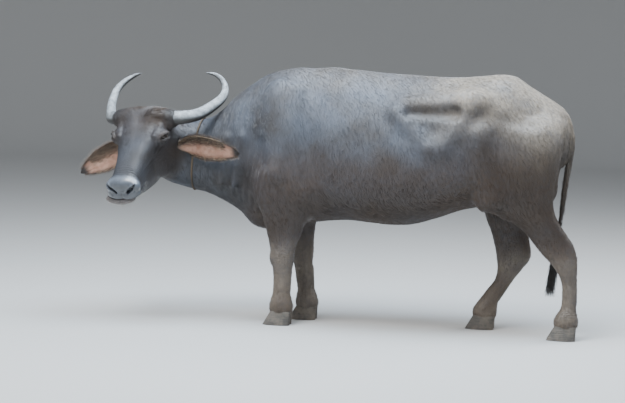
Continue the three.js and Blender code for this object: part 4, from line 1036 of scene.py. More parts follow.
class Nodes:
    """Short ways to add and link nodes in one tree."""

    def __init__(self, tree):
        self.tree = tree

    def link(self, value, socket):
        if isinstance(value, bpy.types.NodeSocket):
            self.tree.links.new(value, socket)
        else:
            socket.default_value = value

    def add(self, kind, out=0, settings=None, **inputs):
        node = self.tree.nodes.new(kind)
        for key, value in (settings or {}).items():
            setattr(node, key, value)
        for key, value in inputs.items():
            self.link(value, node.inputs[key.replace("_", " ")])
        return node.outputs[out]

    def maths(self, operation, a, b=0.0):
        node = self.tree.nodes.new("ShaderNodeMath")
        node.operation = operation
        self.link(a, node.inputs[0])
        self.link(b, node.inputs[1])
        return node.outputs[0]

    def mix(self, factor, a, b, blend="MIX"):
        node = self.tree.nodes.new("ShaderNodeMix")
        node.data_type = "RGBA"
        node.blend_type = blend
        self.link(factor, node.inputs[0])
        self.link(a, node.inputs[6])
        self.link(b, node.inputs[7])
        return node.outputs[2]

    def ramp(self, value, low, high):
        node = self.tree.nodes.new("ShaderNodeMapRange")
        self.link(value, node.inputs[0])
        node.inputs[1].default_value, node.inputs[2].default_value = low, high
        return node.outputs[0]

    def attribute(self, name):
        node = self.tree.nodes.new("ShaderNodeAttribute")
        node.attribute_name = name
        return node.outputs

    def separate(self, colour):
        node = self.tree.nodes.new("ShaderNodeSeparateColor")
        self.link(colour, node.inputs[0])
        return node.outputs

    def bump(self, height, strength, distance):
        return self.add("ShaderNodeBump", Height=height, Strength=strength, Distance=distance)

    def noise(self, vector, scale, detail=3.0, rough=0.55):
        return self.add("ShaderNodeTexNoise", Vector=vector, Scale=scale, Detail=detail, Roughness=rough)

    def place(self, scale=(1, 1, 1), vector=None):
        vector = vector or self.add("ShaderNodeTexCoord", out="Object")
        return self.add("ShaderNodeMapping", Vector=vector, Scale=scale)


FLOAT, COLOUR, VECTOR = "NodeSocketFloat", "NodeSocketColor", "NodeSocketVector"
SLATE, SLATE_BLUE = (0.042, 0.038, 0.038, 1), (0.074, 0.085, 0.108, 1)
# The dust colour also paints the highlight on the pin bone, and the mud colour also paints shade on the lower
# flank and thigh.
DUST_AND_HIGHLIGHT, MUD_AND_SHADE = (0.258, 0.215, 0.168, 1), (0.062, 0.037, 0.022, 1)
BARE, DARK = (0.36, 0.315, 0.30, 1), (0.011, 0.007, 0.005, 1)
PAD_DARK, PAD_PALE = (0.100, 0.113, 0.135, 1), (0.158, 0.178, 0.210, 1)

# %% Group: markings to colour
marks_group, given, result = new_group(
    "marks_to_colour",
    [(COLOUR, "Marks", None), (FLOAT, "Tone", 0.5), (VECTOR, "Place", None)],
    [(COLOUR, "Colour")])
g = Nodes(marks_group)
parts = g.separate(given.outputs["Marks"])
cloud = g.ramp(g.noise(given.outputs["Place"], 5.0, 4.0), 0.35, 0.68)
colour = g.mix(cloud, SLATE, SLATE_BLUE)
speck = g.ramp(g.noise(given.outputs["Place"], 60.0, 5.0, 0.65), 0.3, 0.7)
# The dust channel includes the painted highlight on the pin bone.
dusty_and_lit = g.maths("MULTIPLY", parts[0], g.maths("ADD", 0.55, g.maths("MULTIPLY", speck, 0.6)))
# The brown channel includes painted shade on the lower flank and thigh.
muddy_and_shaded = g.maths("MULTIPLY", parts[1], g.maths("ADD", 0.6, g.maths("MULTIPLY", speck, 0.5)))
colour = g.mix(g.maths("MINIMUM", muddy_and_shaded, 1.0), colour, MUD_AND_SHADE)
colour = g.mix(g.maths("MINIMUM", dusty_and_lit, 1.0), colour, DUST_AND_HIGHLIGHT)
colour = g.mix(parts[2], colour, BARE)
tone = g.maths("ADD", 0.76, g.maths("MULTIPLY", given.outputs["Tone"], 0.48))
colour = g.mix(1.0, colour, g.add("ShaderNodeCombineColor", Red=tone, Green=tone, Blue=tone), "MULTIPLY")
g.link(colour, result.inputs["Colour"])

# %% Group: grain of the hide
grain_group, given, result = new_group(
    "hide_grain", [(VECTOR, "Place", None)], [(FLOAT, "Height"), (FLOAT, "Fine")])
g = Nodes(grain_group)
streaks = g.noise(g.place((300, 300, 34), given.outputs["Place"]), 1.0, 3.0, 0.6)
pores = g.add("ShaderNodeTexVoronoi", Vector=given.outputs["Place"], Scale=260.0)
creases = g.noise(g.place((50, 50, 26), given.outputs["Place"]), 1.0, 5.0, 0.6)
height = g.maths("ADD", g.maths("MULTIPLY", streaks, 0.55), g.maths("MULTIPLY", pores, 0.25))
height = g.maths("ADD", height, g.maths("MULTIPLY", creases, 0.7))
g.link(height, result.inputs["Height"])
g.link(streaks, result.inputs["Fine"])


def group_node(nodes, group, **inputs):
    node = nodes.tree.nodes.new("ShaderNodeGroup")
    node.node_tree = group
    for key, value in inputs.items():
        nodes.link(value, node.inputs[key])
    return node


def new_material(name, roughness=0.7):
    material = bpy.data.materials.new(name)
    material.use_nodes = True
    shader = material.node_tree.nodes["Principled BSDF"]
    shader.inputs["Roughness"].default_value = roughness
    return material, Nodes(material.node_tree), shader


# %% Skin
hide_material, m, shader = new_material("hide")
place = m.place()
marks = m.attribute("marks")
wetness = m.attribute("wet")["Fac"]
grain = group_node(m, grain_group, Place=place).outputs
marked = group_node(m, marks_group, Marks=marks["Color"], Place=place, Tone=grain["Fine"])
pad_tone = m.mix(m.ramp(m.noise(place, 26.0, 4.0), 0.35, 0.7), PAD_DARK, PAD_PALE)
colour = m.mix(wetness, marked.outputs[0], pad_tone)
# The marks' alpha is the dark channel, mostly painted shade in hollows, creases, slits and low down on the body,
# and it darkens the hide.
colour = m.mix(marks["Alpha"], colour, DARK)
m.link(colour, shader.inputs["Base Color"])
m.link(m.maths("SUBTRACT", 0.56, m.maths("MULTIPLY", wetness, 0.24)), shader.inputs["Roughness"])
m.link(m.maths("MULTIPLY", wetness, 0.85), shader.inputs["Coat Weight"])
shader.inputs["Coat Roughness"].default_value = 0.22
pebble = m.add("ShaderNodeTexVoronoi", Vector=place, Scale=330.0, settings={"feature": "SMOOTH_F1"})
low_relief = m.mix(wetness, grain["Height"], m.maths("MULTIPLY", pebble, 0.55))
m.link(m.bump(low_relief, 0.45, 0.0022), shader.inputs["Normal"])
hide.data.materials.append(hide_material)

# %% Hair, in the hide's own colours
hair_material, m, shader = new_material("hair", 0.5)
place = m.place()
marks = m.attribute("marks")
tuft = m.separate(m.attribute("tuft")["Color"])
marked = group_node(m, marks_group, Marks=marks["Color"], Place=place, Tone=tuft[0])
colour = m.mix(m.maths("MULTIPLY", tuft[1], 0.16), marked.outputs[0], (0.17, 0.14, 0.115, 1))
# The coat takes the same dark channel from its roots, so the painted shade darkens the hair too.
colour = m.mix(m.maths("MULTIPLY", marks["Alpha"], 0.9), colour, DARK)
m.link(colour, shader.inputs["Base Color"])
strand = m.noise(m.place((700, 700, 90)), 1.0, 2.0)
m.link(m.bump(strand, 0.3, 0.0006), shader.inputs["Normal"])

# %% [markdown]
# ## Coat
#
# A buffalo's coat is thin, short and lies flat, so the hide shows through it. Real
# hair grows in small tufts that slide over each other down the flank. Each tuft here
# is a thin three-sided spike, whose open root is sunk in the skin at a random place,
# bent along the lie of the coat. Thousands of them are joined into a few pieces,
# region by region.

# %% Which way the hair lies, how long and how dense it is
def lie_of_hair(p, n, q):
    """Direction of the coat, before it is laid flat on the skin."""
    head = smooth(-p[:, 0], 1050, 1180)[:, None] * face_region(p)[:, None]
    leg = smooth(-p[:, 2], -560, -460)[:, None]
    body = np.array([0.40, 0.0, -0.92]) + np.zeros_like(p)
    body += smooth(-n[:, 2], 0.5, 0.9)[:, None] * np.array([0.9, 0, 0.6])
    leg_way = np.array([0.10, 0.0, -1.0])
    away = np.stack([q[:, 0] - 190, q[:, 1] * 1.3, np.minimum(q[:, 2] + 60, 0)], 1)
    away /= np.linalg.norm(away, axis=1, keepdims=True) + 1e-9
    face = (away * [0.75, 0.9, 1.0] + [0.25, 0, -0.2]) @ HEAD_AXES
    way = body * (1 - leg) + leg_way * leg
    way = way * (1 - head) + face * head
    swirl = 0.26 * noise(p, 70, 4.4) + 0.16 * noise(p, 24, 8.2)
    way += np.cross(n, way) * swirl[:, None]
    way -= n * (way * n).sum(1, keepdims=True)
    return way / (np.linalg.norm(way, axis=1, keepdims=True) + 1e-9)


def growth(p, n, q):
    """Tufts to a square millimetre, and length, width and lift in millimetres."""
    ones = np.ones(len(p))
    head = face_region(p)
    leg = smooth(-p[:, 2], -540, -430)
    thick, long, wide, lift = 0.0178 * ones, 23.0 * ones, 1.3 * ones, 1.4 * ones
    thick = thick * (1 - leg) + 0.026 * leg
    long = long * (1 - leg) + 13 * leg
    wide = wide * (1 - leg) + 1.25 * leg
    lift = lift * (1 - leg) + 1.5 * leg
    under = smooth(-n[:, 2], 0.55, 0.9) * (p[:, 2] > 420)
    long += 8 * under
    lift += 1.5 * under
    near_muzzle = smooth(q[:, 0], 180, 380)
    thick[head] = (0.040 + 0.030 * near_muzzle)[head]
    long[head] = (12 - 6.5 * near_muzzle)[head]
    wide[head] = (1.05 - 0.4 * near_muzzle)[head]
    lift[head] = (1.2 - 0.5 * near_muzzle)[head]
    top = head & (q[:, 0] < 70) & (q[:, 2] > -90)
    long[top], wide[top], lift[top] = 24, 1.3, 3.4
    ankle = hump(p[:, 2] - 88, 26) * (p[:, 2] < 140)
    long += 7 * ankle
    on_tail = smooth(p[:, 0], 668, 690) * smooth(50 - np.abs(p[:, 1]), 0, 12) \
        * smooth(-p[:, 2], -1010, -900)
    thick += 0.035 * on_tail
    long += (24 - long) * on_tail
    lift += 3.5 * on_tail
    return thick, long, wide, lift


ROOT_DEPTH = 0.9
PATCH_HALF = 0.0014


def tuft_arrays(root, normal, lie, long, wide, lift, stations, random):
    """Points of the spikes: three to a ring at each station, then the tip."""
    side = np.cross(normal, lie)
    sway = random.normal(0, 0.09, len(root))[:, None]
    long, wide, lift = (np.broadcast_to(np.asarray(v, float), len(root))[:, None]
                        for v in (long, wide, lift))
    rings = []
    for t in (*stations, 1.0):
        height = -ROOT_DEPTH + (lift + ROOT_DEPTH) * min(1, 2.4 * t) * (1 - 0.25 * t)
        centre = root + lie * long * t + side * sway * long * t * t + normal * height
        half = wide * 0.5 * (1 - t) ** 0.6
        if t == 1.0:
            rings.append(centre[:, None])
        else:
            three = [centre - side * half, centre + normal * half * 0.9, centre + side * half]
            rings.append(np.stack(three, 1))
    return np.concatenate(rings, 1)


def tuft_faces(stations):
    """Triangles of one spike, which has no face under its root."""
    faces = []
    count = len(stations)
    for i in range(count):
        for k in range(3):
            a, b = 3 * i + k, 3 * i + (k + 1) % 3
            if i == count - 1:
                faces.append((a, 3 * count, b))
            else:
                faces += [(a, a + 3, b + 3), (a, b + 3, b)]
    return np.array(faces)


def tuft_piece(name, points, marks, root_uv, stations, material, random):
    """One mesh from many tufts, with its colours and its place on the unwrap."""
    count, each = points.shape[:2]
    local = tuft_faces(stations)
    faces = (np.arange(count)[:, None, None] * each + local).reshape(-1, 3)
    piece = mesh_object(name, points.reshape(-1, 3), faces, False)
    along_tuft = np.r_[np.repeat(list(stations), 3), 1.0]
    across = np.r_[np.tile([-1.0, 0.0, 1.0], len(stations)), 0.0]
    patch = np.stack([across, along_tuft * 2 - 1], 1) * PATCH_HALF
    spread = root_uv[:, None] + patch[None]
    add_uv(piece.data, spread.reshape(-1, 2)[faces.ravel()])
    add_colour(piece.data, "marks", np.repeat(marks, each, axis=0))
    tone = random.random(count)
    tuft = np.stack([np.repeat(tone, each), np.tile(along_tuft ** 2, count),
                     np.repeat(random.random(count), each), np.ones(count * each)], 1)
    add_colour(piece.data, "tuft", tuft)
    piece.data.materials.append(material)
    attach(piece, "root")
    return piece


# %% Roots at random places on the skin
def face_areas():
    a, b, c = (skin_points[skin_faces[:, i]] for i in range(3))
    return 0.5 * np.linalg.norm(np.cross(b - a, c - a), axis=1)


def scatter(density, random):
    """Random places on the skin: face number and weights of its three corners."""
    total = np.cumsum(face_areas() * density)
    count = int(total[-1])
    face = np.searchsorted(total, random.random(count) * total[-1])
    u, v = random.random((2, count))
    flip = u + v > 1
    u[flip], v[flip] = 1 - u[flip], 1 - v[flip]
    return face, np.stack([1 - u - v, u, v], 1)


def at_roots(values, face, weights):
    return (values[skin_faces[face]] * weights[..., None]).sum(1)


face_middle = skin_points[skin_faces].mean(1)
face_normal = skin_normals[skin_faces].mean(1)
face_marks_and_shade = skin_marks_and_shade[skin_faces].mean(1)
face_wet = skin_wet[skin_faces].mean(1)
face_in_head = to_head(face_middle)
# No hair on the wet pad, the bare lip or the darkest skin of the head, which is mostly painted shade in the eye
# slits, nostrils and mouth.
dark_and_shaded_skin = (face_marks_and_shade[:, 3] > 0.80) & (face_middle[:, 2] > 560) & face_region(face_middle)
bare_lip = (face_marks_and_shade[:, 2] > 0.42) & (face_in_head[:, 0] > 380)
bald = (face_wet > 0.25) | dark_and_shaded_skin | bare_lip
density = growth(face_middle, face_normal, face_in_head)[0] * ~bald
random = np.random.default_rng(21)
face, weights = scatter(density, random)
root = at_roots(skin_points, face, weights)
normal = at_roots(skin_normals, face, weights)
normal /= np.linalg.norm(normal, axis=1, keepdims=True)
root_marks_and_shade = at_roots(skin_marks_and_shade, face, weights)
root_uv = (skin_uv[face] * weights[..., None]).sum(1)
q = to_head(root)
_, long, wide, lift = growth(root, normal, q)
long = long * random.uniform(0.7, 1.25, len(root))
lift = lift * random.uniform(0.5, 1.25, len(root))
STATIONS = (0.0, 0.45)
coat_points = tuft_arrays(root, normal, lie_of_hair(root, normal, q), long, wide, lift, STATIONS, random)

# %% Pieces of coat, by region
in_face, on_leg = face_region(root), root[:, 2] < 520
left = root[:, 1] < 0
regions = {"coat_head": in_face}
rest = ~in_face
regions["coat_legs_fore"] = rest & on_leg & (root[:, 0] < -200)
regions["coat_legs_hind"] = rest & on_leg & (root[:, 0] >= -200)
rest &= ~on_leg
for name, on_side in (("left", left), ("right", ~left)):
    regions[f"coat_neck_{name}"] = rest & on_side & (root[:, 0] < -560)
    regions[f"coat_flank_{name}"] = rest & on_side & (root[:, 0] >= -560) & (root[:, 0] < 60)
    regions[f"coat_rump_{name}"] = rest & on_side & (root[:, 0] >= 60)
TUFTS_IN_A_PIECE = 22000
triangles = len(tuft_faces(STATIONS))
total = 0
for name, members in regions.items():
    members = np.flatnonzero(members)
    parts = math.ceil(len(members) / TUFTS_IN_A_PIECE)
    for k in range(parts):
        some = members[k::parts]
        label = name if parts == 1 else f"{name}_{k + 1}"
        tuft_piece(label, coat_points[some], root_marks_and_shade[some], root_uv[some], STATIONS,
                   hair_material, random)
        print(label, len(some) * triangles)
    total += len(members) * triangles
print("coat triangles:", total)

# %% [markdown]
# ## Eyes
#
# A buffalo's eye is almost all iris, dark brown, with a level pupil and a thin pale
# rim that shows only in the corners. The clear front bulges a little and carries the
# highlight, so the globe gets a glossy coat instead of a second glass ball.

# %% Eyes
def loft(rings):
    """Quads between closed rings, with the two ends filled by fans."""
    rings = np.asarray(rings)
    count, sides, _ = rings.shape
    i, k = np.meshgrid(np.arange(count - 1), np.arange(sides), indexing="ij")
    a, b = i * sides + k, i * sides + (k + 1) % sides
    quads = np.stack([a, b, b + sides, a + sides], -1).reshape(-1, 4)
    tris = np.vstack([quads[:, [0, 1, 2]], quads[:, [0, 2, 3]]])
    points = np.vstack([rings.reshape(-1, 3), rings[0].mean(0), rings[-1].mean(0)])
    first, last = count * sides, count * sides + 1
    k = np.arange(sides)
    cap = np.stack([np.full(sides, first), (k + 1) % sides, k], 1)
    lid = np.stack([np.full(sides, last), (count - 1) * sides + k, (count - 1) * sides + (k + 1) % sides], 1)
    return points, np.vstack([tris, cap, lid])


eye_material, m, shader = new_material("eye", 0.12)
paint = m.attribute("paint")["Color"]
veins = m.ramp(m.noise(m.place((900, 900, 900)), 1.0, 4.0), 0.35, 0.65)
colour = m.mix(m.maths("MULTIPLY", veins, 0.35), paint, (0.02, 0.012, 0.008, 1))
m.link(colour, shader.inputs["Base Color"])
shader.inputs["Coat Weight"].default_value = 1.0
shader.inputs["Coat Roughness"].default_value = 0.03

GLOBE_SIDES, GLOBE_RINGS, GAZE = 64, 60, 1.0
PALE_RIM, IRIS_BROWN, PUPIL_BLACK = [0.30, 0.25, 0.21], [0.045, 0.024, 0.012], [0.004, 0.004, 0.005]
turns = np.linspace(0, 2 * math.pi, GLOBE_SIDES, endpoint=False)
for s, name in ((1, "left"), (-1, "right")):
    rings = []
    for tilt in np.linspace(0.02, math.pi - 0.02, GLOBE_RINGS):
        swell = EYE_R * 0.985 + 0.9 * smooth(0.62 - tilt, 0, 0.3)
        reach = swell * math.sin(tilt)
        depth = np.full(GLOBE_SIDES, swell * math.cos(tilt))
        rings.append(np.stack([reach * np.cos(turns), reach * np.sin(turns), depth], 1))
    points, faces = loft(rings)
    along_slit, above_slit = points[:, 0] - GAZE, points[:, 1] - LID_LINE
    front = points[:, 2] > 0
    pupil = smooth(1.15 - np.hypot(along_slit / 7.5, above_slit / 4.0), 0, 0.25) * front
    iris = smooth(15.0 - np.hypot(along_slit, above_slit), 0, 1.6) * front
    paint_values = np.ones((len(points), 4))
    paint_values[:, :3] = PALE_RIM
    paint_values[:, :3] += (np.array(IRIS_BROWN) - paint_values[:, :3]) * iris[:, None]
    paint_values[:, :3] += (np.array(PUPIL_BLACK) - paint_values[:, :3]) * pupil[:, None]
    in_head_axes = (points @ EYE_AXES + EYE) * np.array([1, s, 1])
    globe = mesh_object(f"globe_{name}", POLL + in_head_axes @ HEAD_AXES, faces if s < 0 else faces[:, ::-1])
    add_colour(globe.data, "paint", paint_values)
    globe.data.materials.append(eye_material)
    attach(globe, "root")
    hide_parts(f"eye_{name}")

# %% [markdown]
# ## Horns
#
# Swamp buffalo horns are flat-sided crescents that sweep out, far back and then up
# and in. Horn grows from the root, so old growth stands as rings round the base and
# wears smooth towards the tip. The upper face is painted pale as the light of the sky
# falls on it, and the underside, which is rough, is painted dark as its shade.

# %% Horns
HORN_PATH = [(66, -16, -34), (124, -14, -40), (184, 10, -41), (236, 86, -28), (278, 162, 11),
             (298, 222, 51), (293, 259, 93), (264, 288, 131), (219, 304, 158), (178, 289, 168)]
HORN_ROWS = [(0, 28, 33), (0.12, 28, 33), (0.3, 26, 30), (0.5, 22, 26), (0.7, 17, 20), (0.86, 10, 13),
             (0.96, 5, 6.5), (1, 1.5, 2)]


def tube_rings(path, rows, sides, up, ripple):
    """Oval rings along a path: rows are place along, half width and half height."""
    count = len(path) - 1
    t = np.linspace(0, 1, count + 1)
    f = np.gradient(path, axis=0)
    f /= np.linalg.norm(f, axis=1, keepdims=True)
    u = up - f * (f @ up)[:, None]
    u /= np.linalg.norm(u, axis=1, keepdims=True)
    v = np.cross(f, u)
    w, h = along(rows, t).T
    g = np.linspace(0, 2 * math.pi, sides, endpoint=False)
    r = ripple(t[:, None], g[None])
    return (path[:, None] + v[:, None] * (np.cos(g) * (w[:, None] * r))[..., None]
            + u[:, None] * (np.sin(g) * (h[:, None] * r))[..., None]), t, g


def horn_ripple(t, g):
    base = np.clip(1 - t * 1.5, 0, None)
    phase = t * 62 + 0.5 * np.sin(g) + 1.1 * np.sin(t * 17 + 1)
    growth_rings = 0.016 * base * (np.abs(np.sin(phase)) ** 0.7 * 2 - 1.3)
    fine_rings = 0.004 * np.clip(1 - t, 0, 1) * np.sin(t * 410 + np.sin(2 * g))
    return 0.985 + growth_rings + fine_rings + 0.05 * np.cos(3 * g + 0.4) + 0.004 * np.sin(11 * g + 9 * t)


horn_material, m, shader = new_material("horn", 0.5)
top_light_rings_and_tip = m.separate(m.attribute("top_light_rings_and_tip")["Color"])
place = m.place()
cloud = m.ramp(m.noise(place, 34.0, 5.0, 0.6), 0.32, 0.7)
streak = m.ramp(m.noise(m.place((26, 26, 220)), 1.0, 4.0), 0.3, 0.72)
fine = m.ramp(m.noise(m.place((130, 130, 130)), 1.0, 5.0, 0.72), 0.40, 0.62)
colour = m.mix(cloud, (0.15, 0.166, 0.182, 1), (0.55, 0.59, 0.62, 1))
colour = m.mix(m.maths("MULTIPLY", streak, 0.35), colour, (0.14, 0.132, 0.122, 1))
colour = m.mix(m.maths("MULTIPLY", fine, 0.5), colour, (0.080, 0.076, 0.072, 1))
# Painted shade on the underside and painted light on the upper face; then darker ring valleys and tip.
colour = m.mix(top_light_rings_and_tip[0], (0.040, 0.037, 0.035, 1), colour)
colour = m.mix(m.maths("MULTIPLY", top_light_rings_and_tip[1], 0.5), colour, (0.045, 0.042, 0.040, 1))
m.link(colour, shader.inputs["Base Color"])
m.link(m.bump(m.noise(m.place((160, 160, 160)), 1.0, 6.0, 0.65), 0.5, 0.0012), shader.inputs["Normal"])
for s, name in ((1, "left"), (-1, "right")):
    path, long = smooth_path([from_poll(l * s, b, u) for l, b, u in HORN_PATH], 220)
    rings, t, g = tube_rings(path, HORN_ROWS, 40, np.array([0.0, 0.0, 1.0]), horn_ripple)
    points, faces = loft(rings)
    # The upper face carries the painted light of the sky and the underside its painted shade; the valleys between
    # the rings and the tip are darker.
    up_face = smooth(np.sin(g), -0.45, 0.25)[None] * np.ones((len(t), 1))
    near_root = np.clip(1 - t * 1.5, 0, 1)
    between = smooth(0.38 - np.abs(np.sin(t * 62 + 1.1 * np.sin(t * 17 + 1))), 0, 0.38)
    valley = (between * near_root * 0.6)[:, None] * (0.7 + 0.3 * np.sin(3 * g + 20 * t[:, None]))
    tip_dark = smooth(t, 0.93, 1.0)[:, None] * np.ones(len(g))
    darkening = np.maximum(valley, tip_dark * 0.6)
    values = np.stack([up_face, darkening, valley * 0, np.ones_like(valley)], -1).reshape(-1, 4)
    horn = mesh_object(f"crescent_{name}", points, faces)
    add_colour(horn.data, "top_light_rings_and_tip", np.vstack([values, values[:1], values[-1:]]))
    horn.data.materials.append(horn_material)
    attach(horn, "root")
    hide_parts(f"horn_{name}")
print("horn length, mm:", round(long))

# %% [markdown]
# ## Ears
#
# The ear is a leaf of cartilage rolled into a stalk at the root and open to the
# front. Inside it is nearly bare, pink with the blood behind it, crossed by rows of
# long pale and dark hairs. Outside it is as hairy as the neck.

# %% Ears
EARS = {"left": ((108, 92, -166), (466, 44, -210), 2), "right": ((-104, 88, -172), (-402, 70, -312), 12)}
EAR_ROWS = [(0, 26, 25), (0.1, 30, 25), (0.22, 51, 22), (0.38, 63, 18), (0.55, 60, 15), (0.72, 48, 12),
            (0.86, 30, 8), (0.95, 15, 5), (1, 3, 2)]
EAR_THICK = 5.0
EAR_RINGS, EAR_STEPS = 90, 28
ear_ahead = facing * 0.9 + np.array([0, 0, -0.42])

ear_material, m, shader = new_material("ear", 0.7)
marks = m.separate(m.attribute("marks")["Color"])
place = m.place()
blotch = m.ramp(m.noise(place, 28.0, 5.0, 0.6), 0.3, 0.7)
inner = m.mix(blotch, (0.36, 0.18, 0.12, 1), (0.64, 0.39, 0.29, 1))
outer = m.mix(blotch, (0.060, 0.050, 0.044, 1), (0.12, 0.095, 0.078, 1))
colour = m.mix(marks[0], outer, inner)
# Dark parts of the ear: its tips, the edges and hairy upper half of the inside, and the painted shade deep in the
# cup.
colour = m.mix(marks[1], colour, (0.030, 0.025, 0.023, 1))
m.link(colour, shader.inputs["Base Color"])
shader.inputs["Subsurface Weight"].default_value = 0.12
shader.inputs["Subsurface Radius"].default_value = (0.012, 0.004, 0.002)
m.link(m.bump(m.noise(m.place((240, 240, 240)), 1.0, 4.0), 0.4, 0.001), shader.inputs["Normal"])

ear_hair, m, shader = new_material("ear_hair", 0.6)
tuft = m.separate(m.attribute("tuft")["Color"])
marks = m.attribute("marks")
shade = m.mix(tuft[0], (0.6, 0.6, 0.6, 1), (1.25, 1.25, 1.25, 1))
strand = m.ramp(m.noise(m.place((500, 500, 500)), 1.0, 2.0), 0.2, 0.8)
shade = m.mix(m.maths("MULTIPLY", strand, 0.3), shade, (0.7, 0.68, 0.66, 1))
m.link(m.mix(1.0, marks["Color"], shade, "MULTIPLY"), shader.inputs["Base Color"])

CREAM = np.array([0.58, 0.45, 0.33])
RUSSET = np.array([0.20, 0.115, 0.075])
BLACK = np.array([0.022, 0.018, 0.016])
GREY_HAIR = np.array([0.085, 0.075, 0.068])
EAR_STATIONS = (0.0, 0.3, 0.65)
INNER_ROWS = [0.06, 0.14, 0.22, 0.31, 0.41, 0.93]
ROW_SHARES = [0.18, 0.18, 0.18, 0.17, 0.14, 0.15]


def ear_frame(name, t):
    """Middle line, outward, across and forward directions, half width and depth."""
    start, end, sag = EARS[name]
    start, end = from_poll(*start), from_poll(*end)
    middle = (start + end) / 2 + np.array([0, 0, sag])
    t = t[:, None]
    line = start * (1 - t) ** 2 + 2 * middle * t * (1 - t) + end * t ** 2
    f = 2 * (middle - start) * (1 - t) + 2 * (end - middle) * t
    f /= np.linalg.norm(f, axis=1, keepdims=True)
    out = ear_ahead - f * (f @ ear_ahead)[:, None]
    out /= np.linalg.norm(out, axis=1, keepdims=True)
    half, deep = along(EAR_ROWS, t[:, 0]).T
    return line, f, np.cross(f, out), out, half, deep


def ear_point(name, t, g, inside):
    """A place on the ear: t along, g from 0 to pi across, inside or outside."""
    line, f, across, out, half, deep = ear_frame(name, t)
    opened = np.clip((t - 0.08) / 0.22, 0, 1) ** 1.2
    thick = EAR_THICK * (1 - 0.4 * t)
    wave = 1 + 0.02 * np.sin(t * 23) * smooth(t, 0.2, 0.5)
    if inside:
        a = -np.cos(g) * (half * wave * 0.99 - thick * opened * np.sin(g))
        cup = -np.sin(g) * np.maximum(deep - thick, 0.3)
        o = np.sin(g) * deep * (1 - opened) + cup * opened
        o = o + 1.1 * opened * np.sin(g) * np.sin(g * 9 + t * 3) * smooth(t, 0.2, 0.4)
    else:
        a, o = -np.cos(g) * half * wave * 0.99, -np.sin(g) * deep
    return line + across * a[:, None] + out * o[:, None], out, across, f


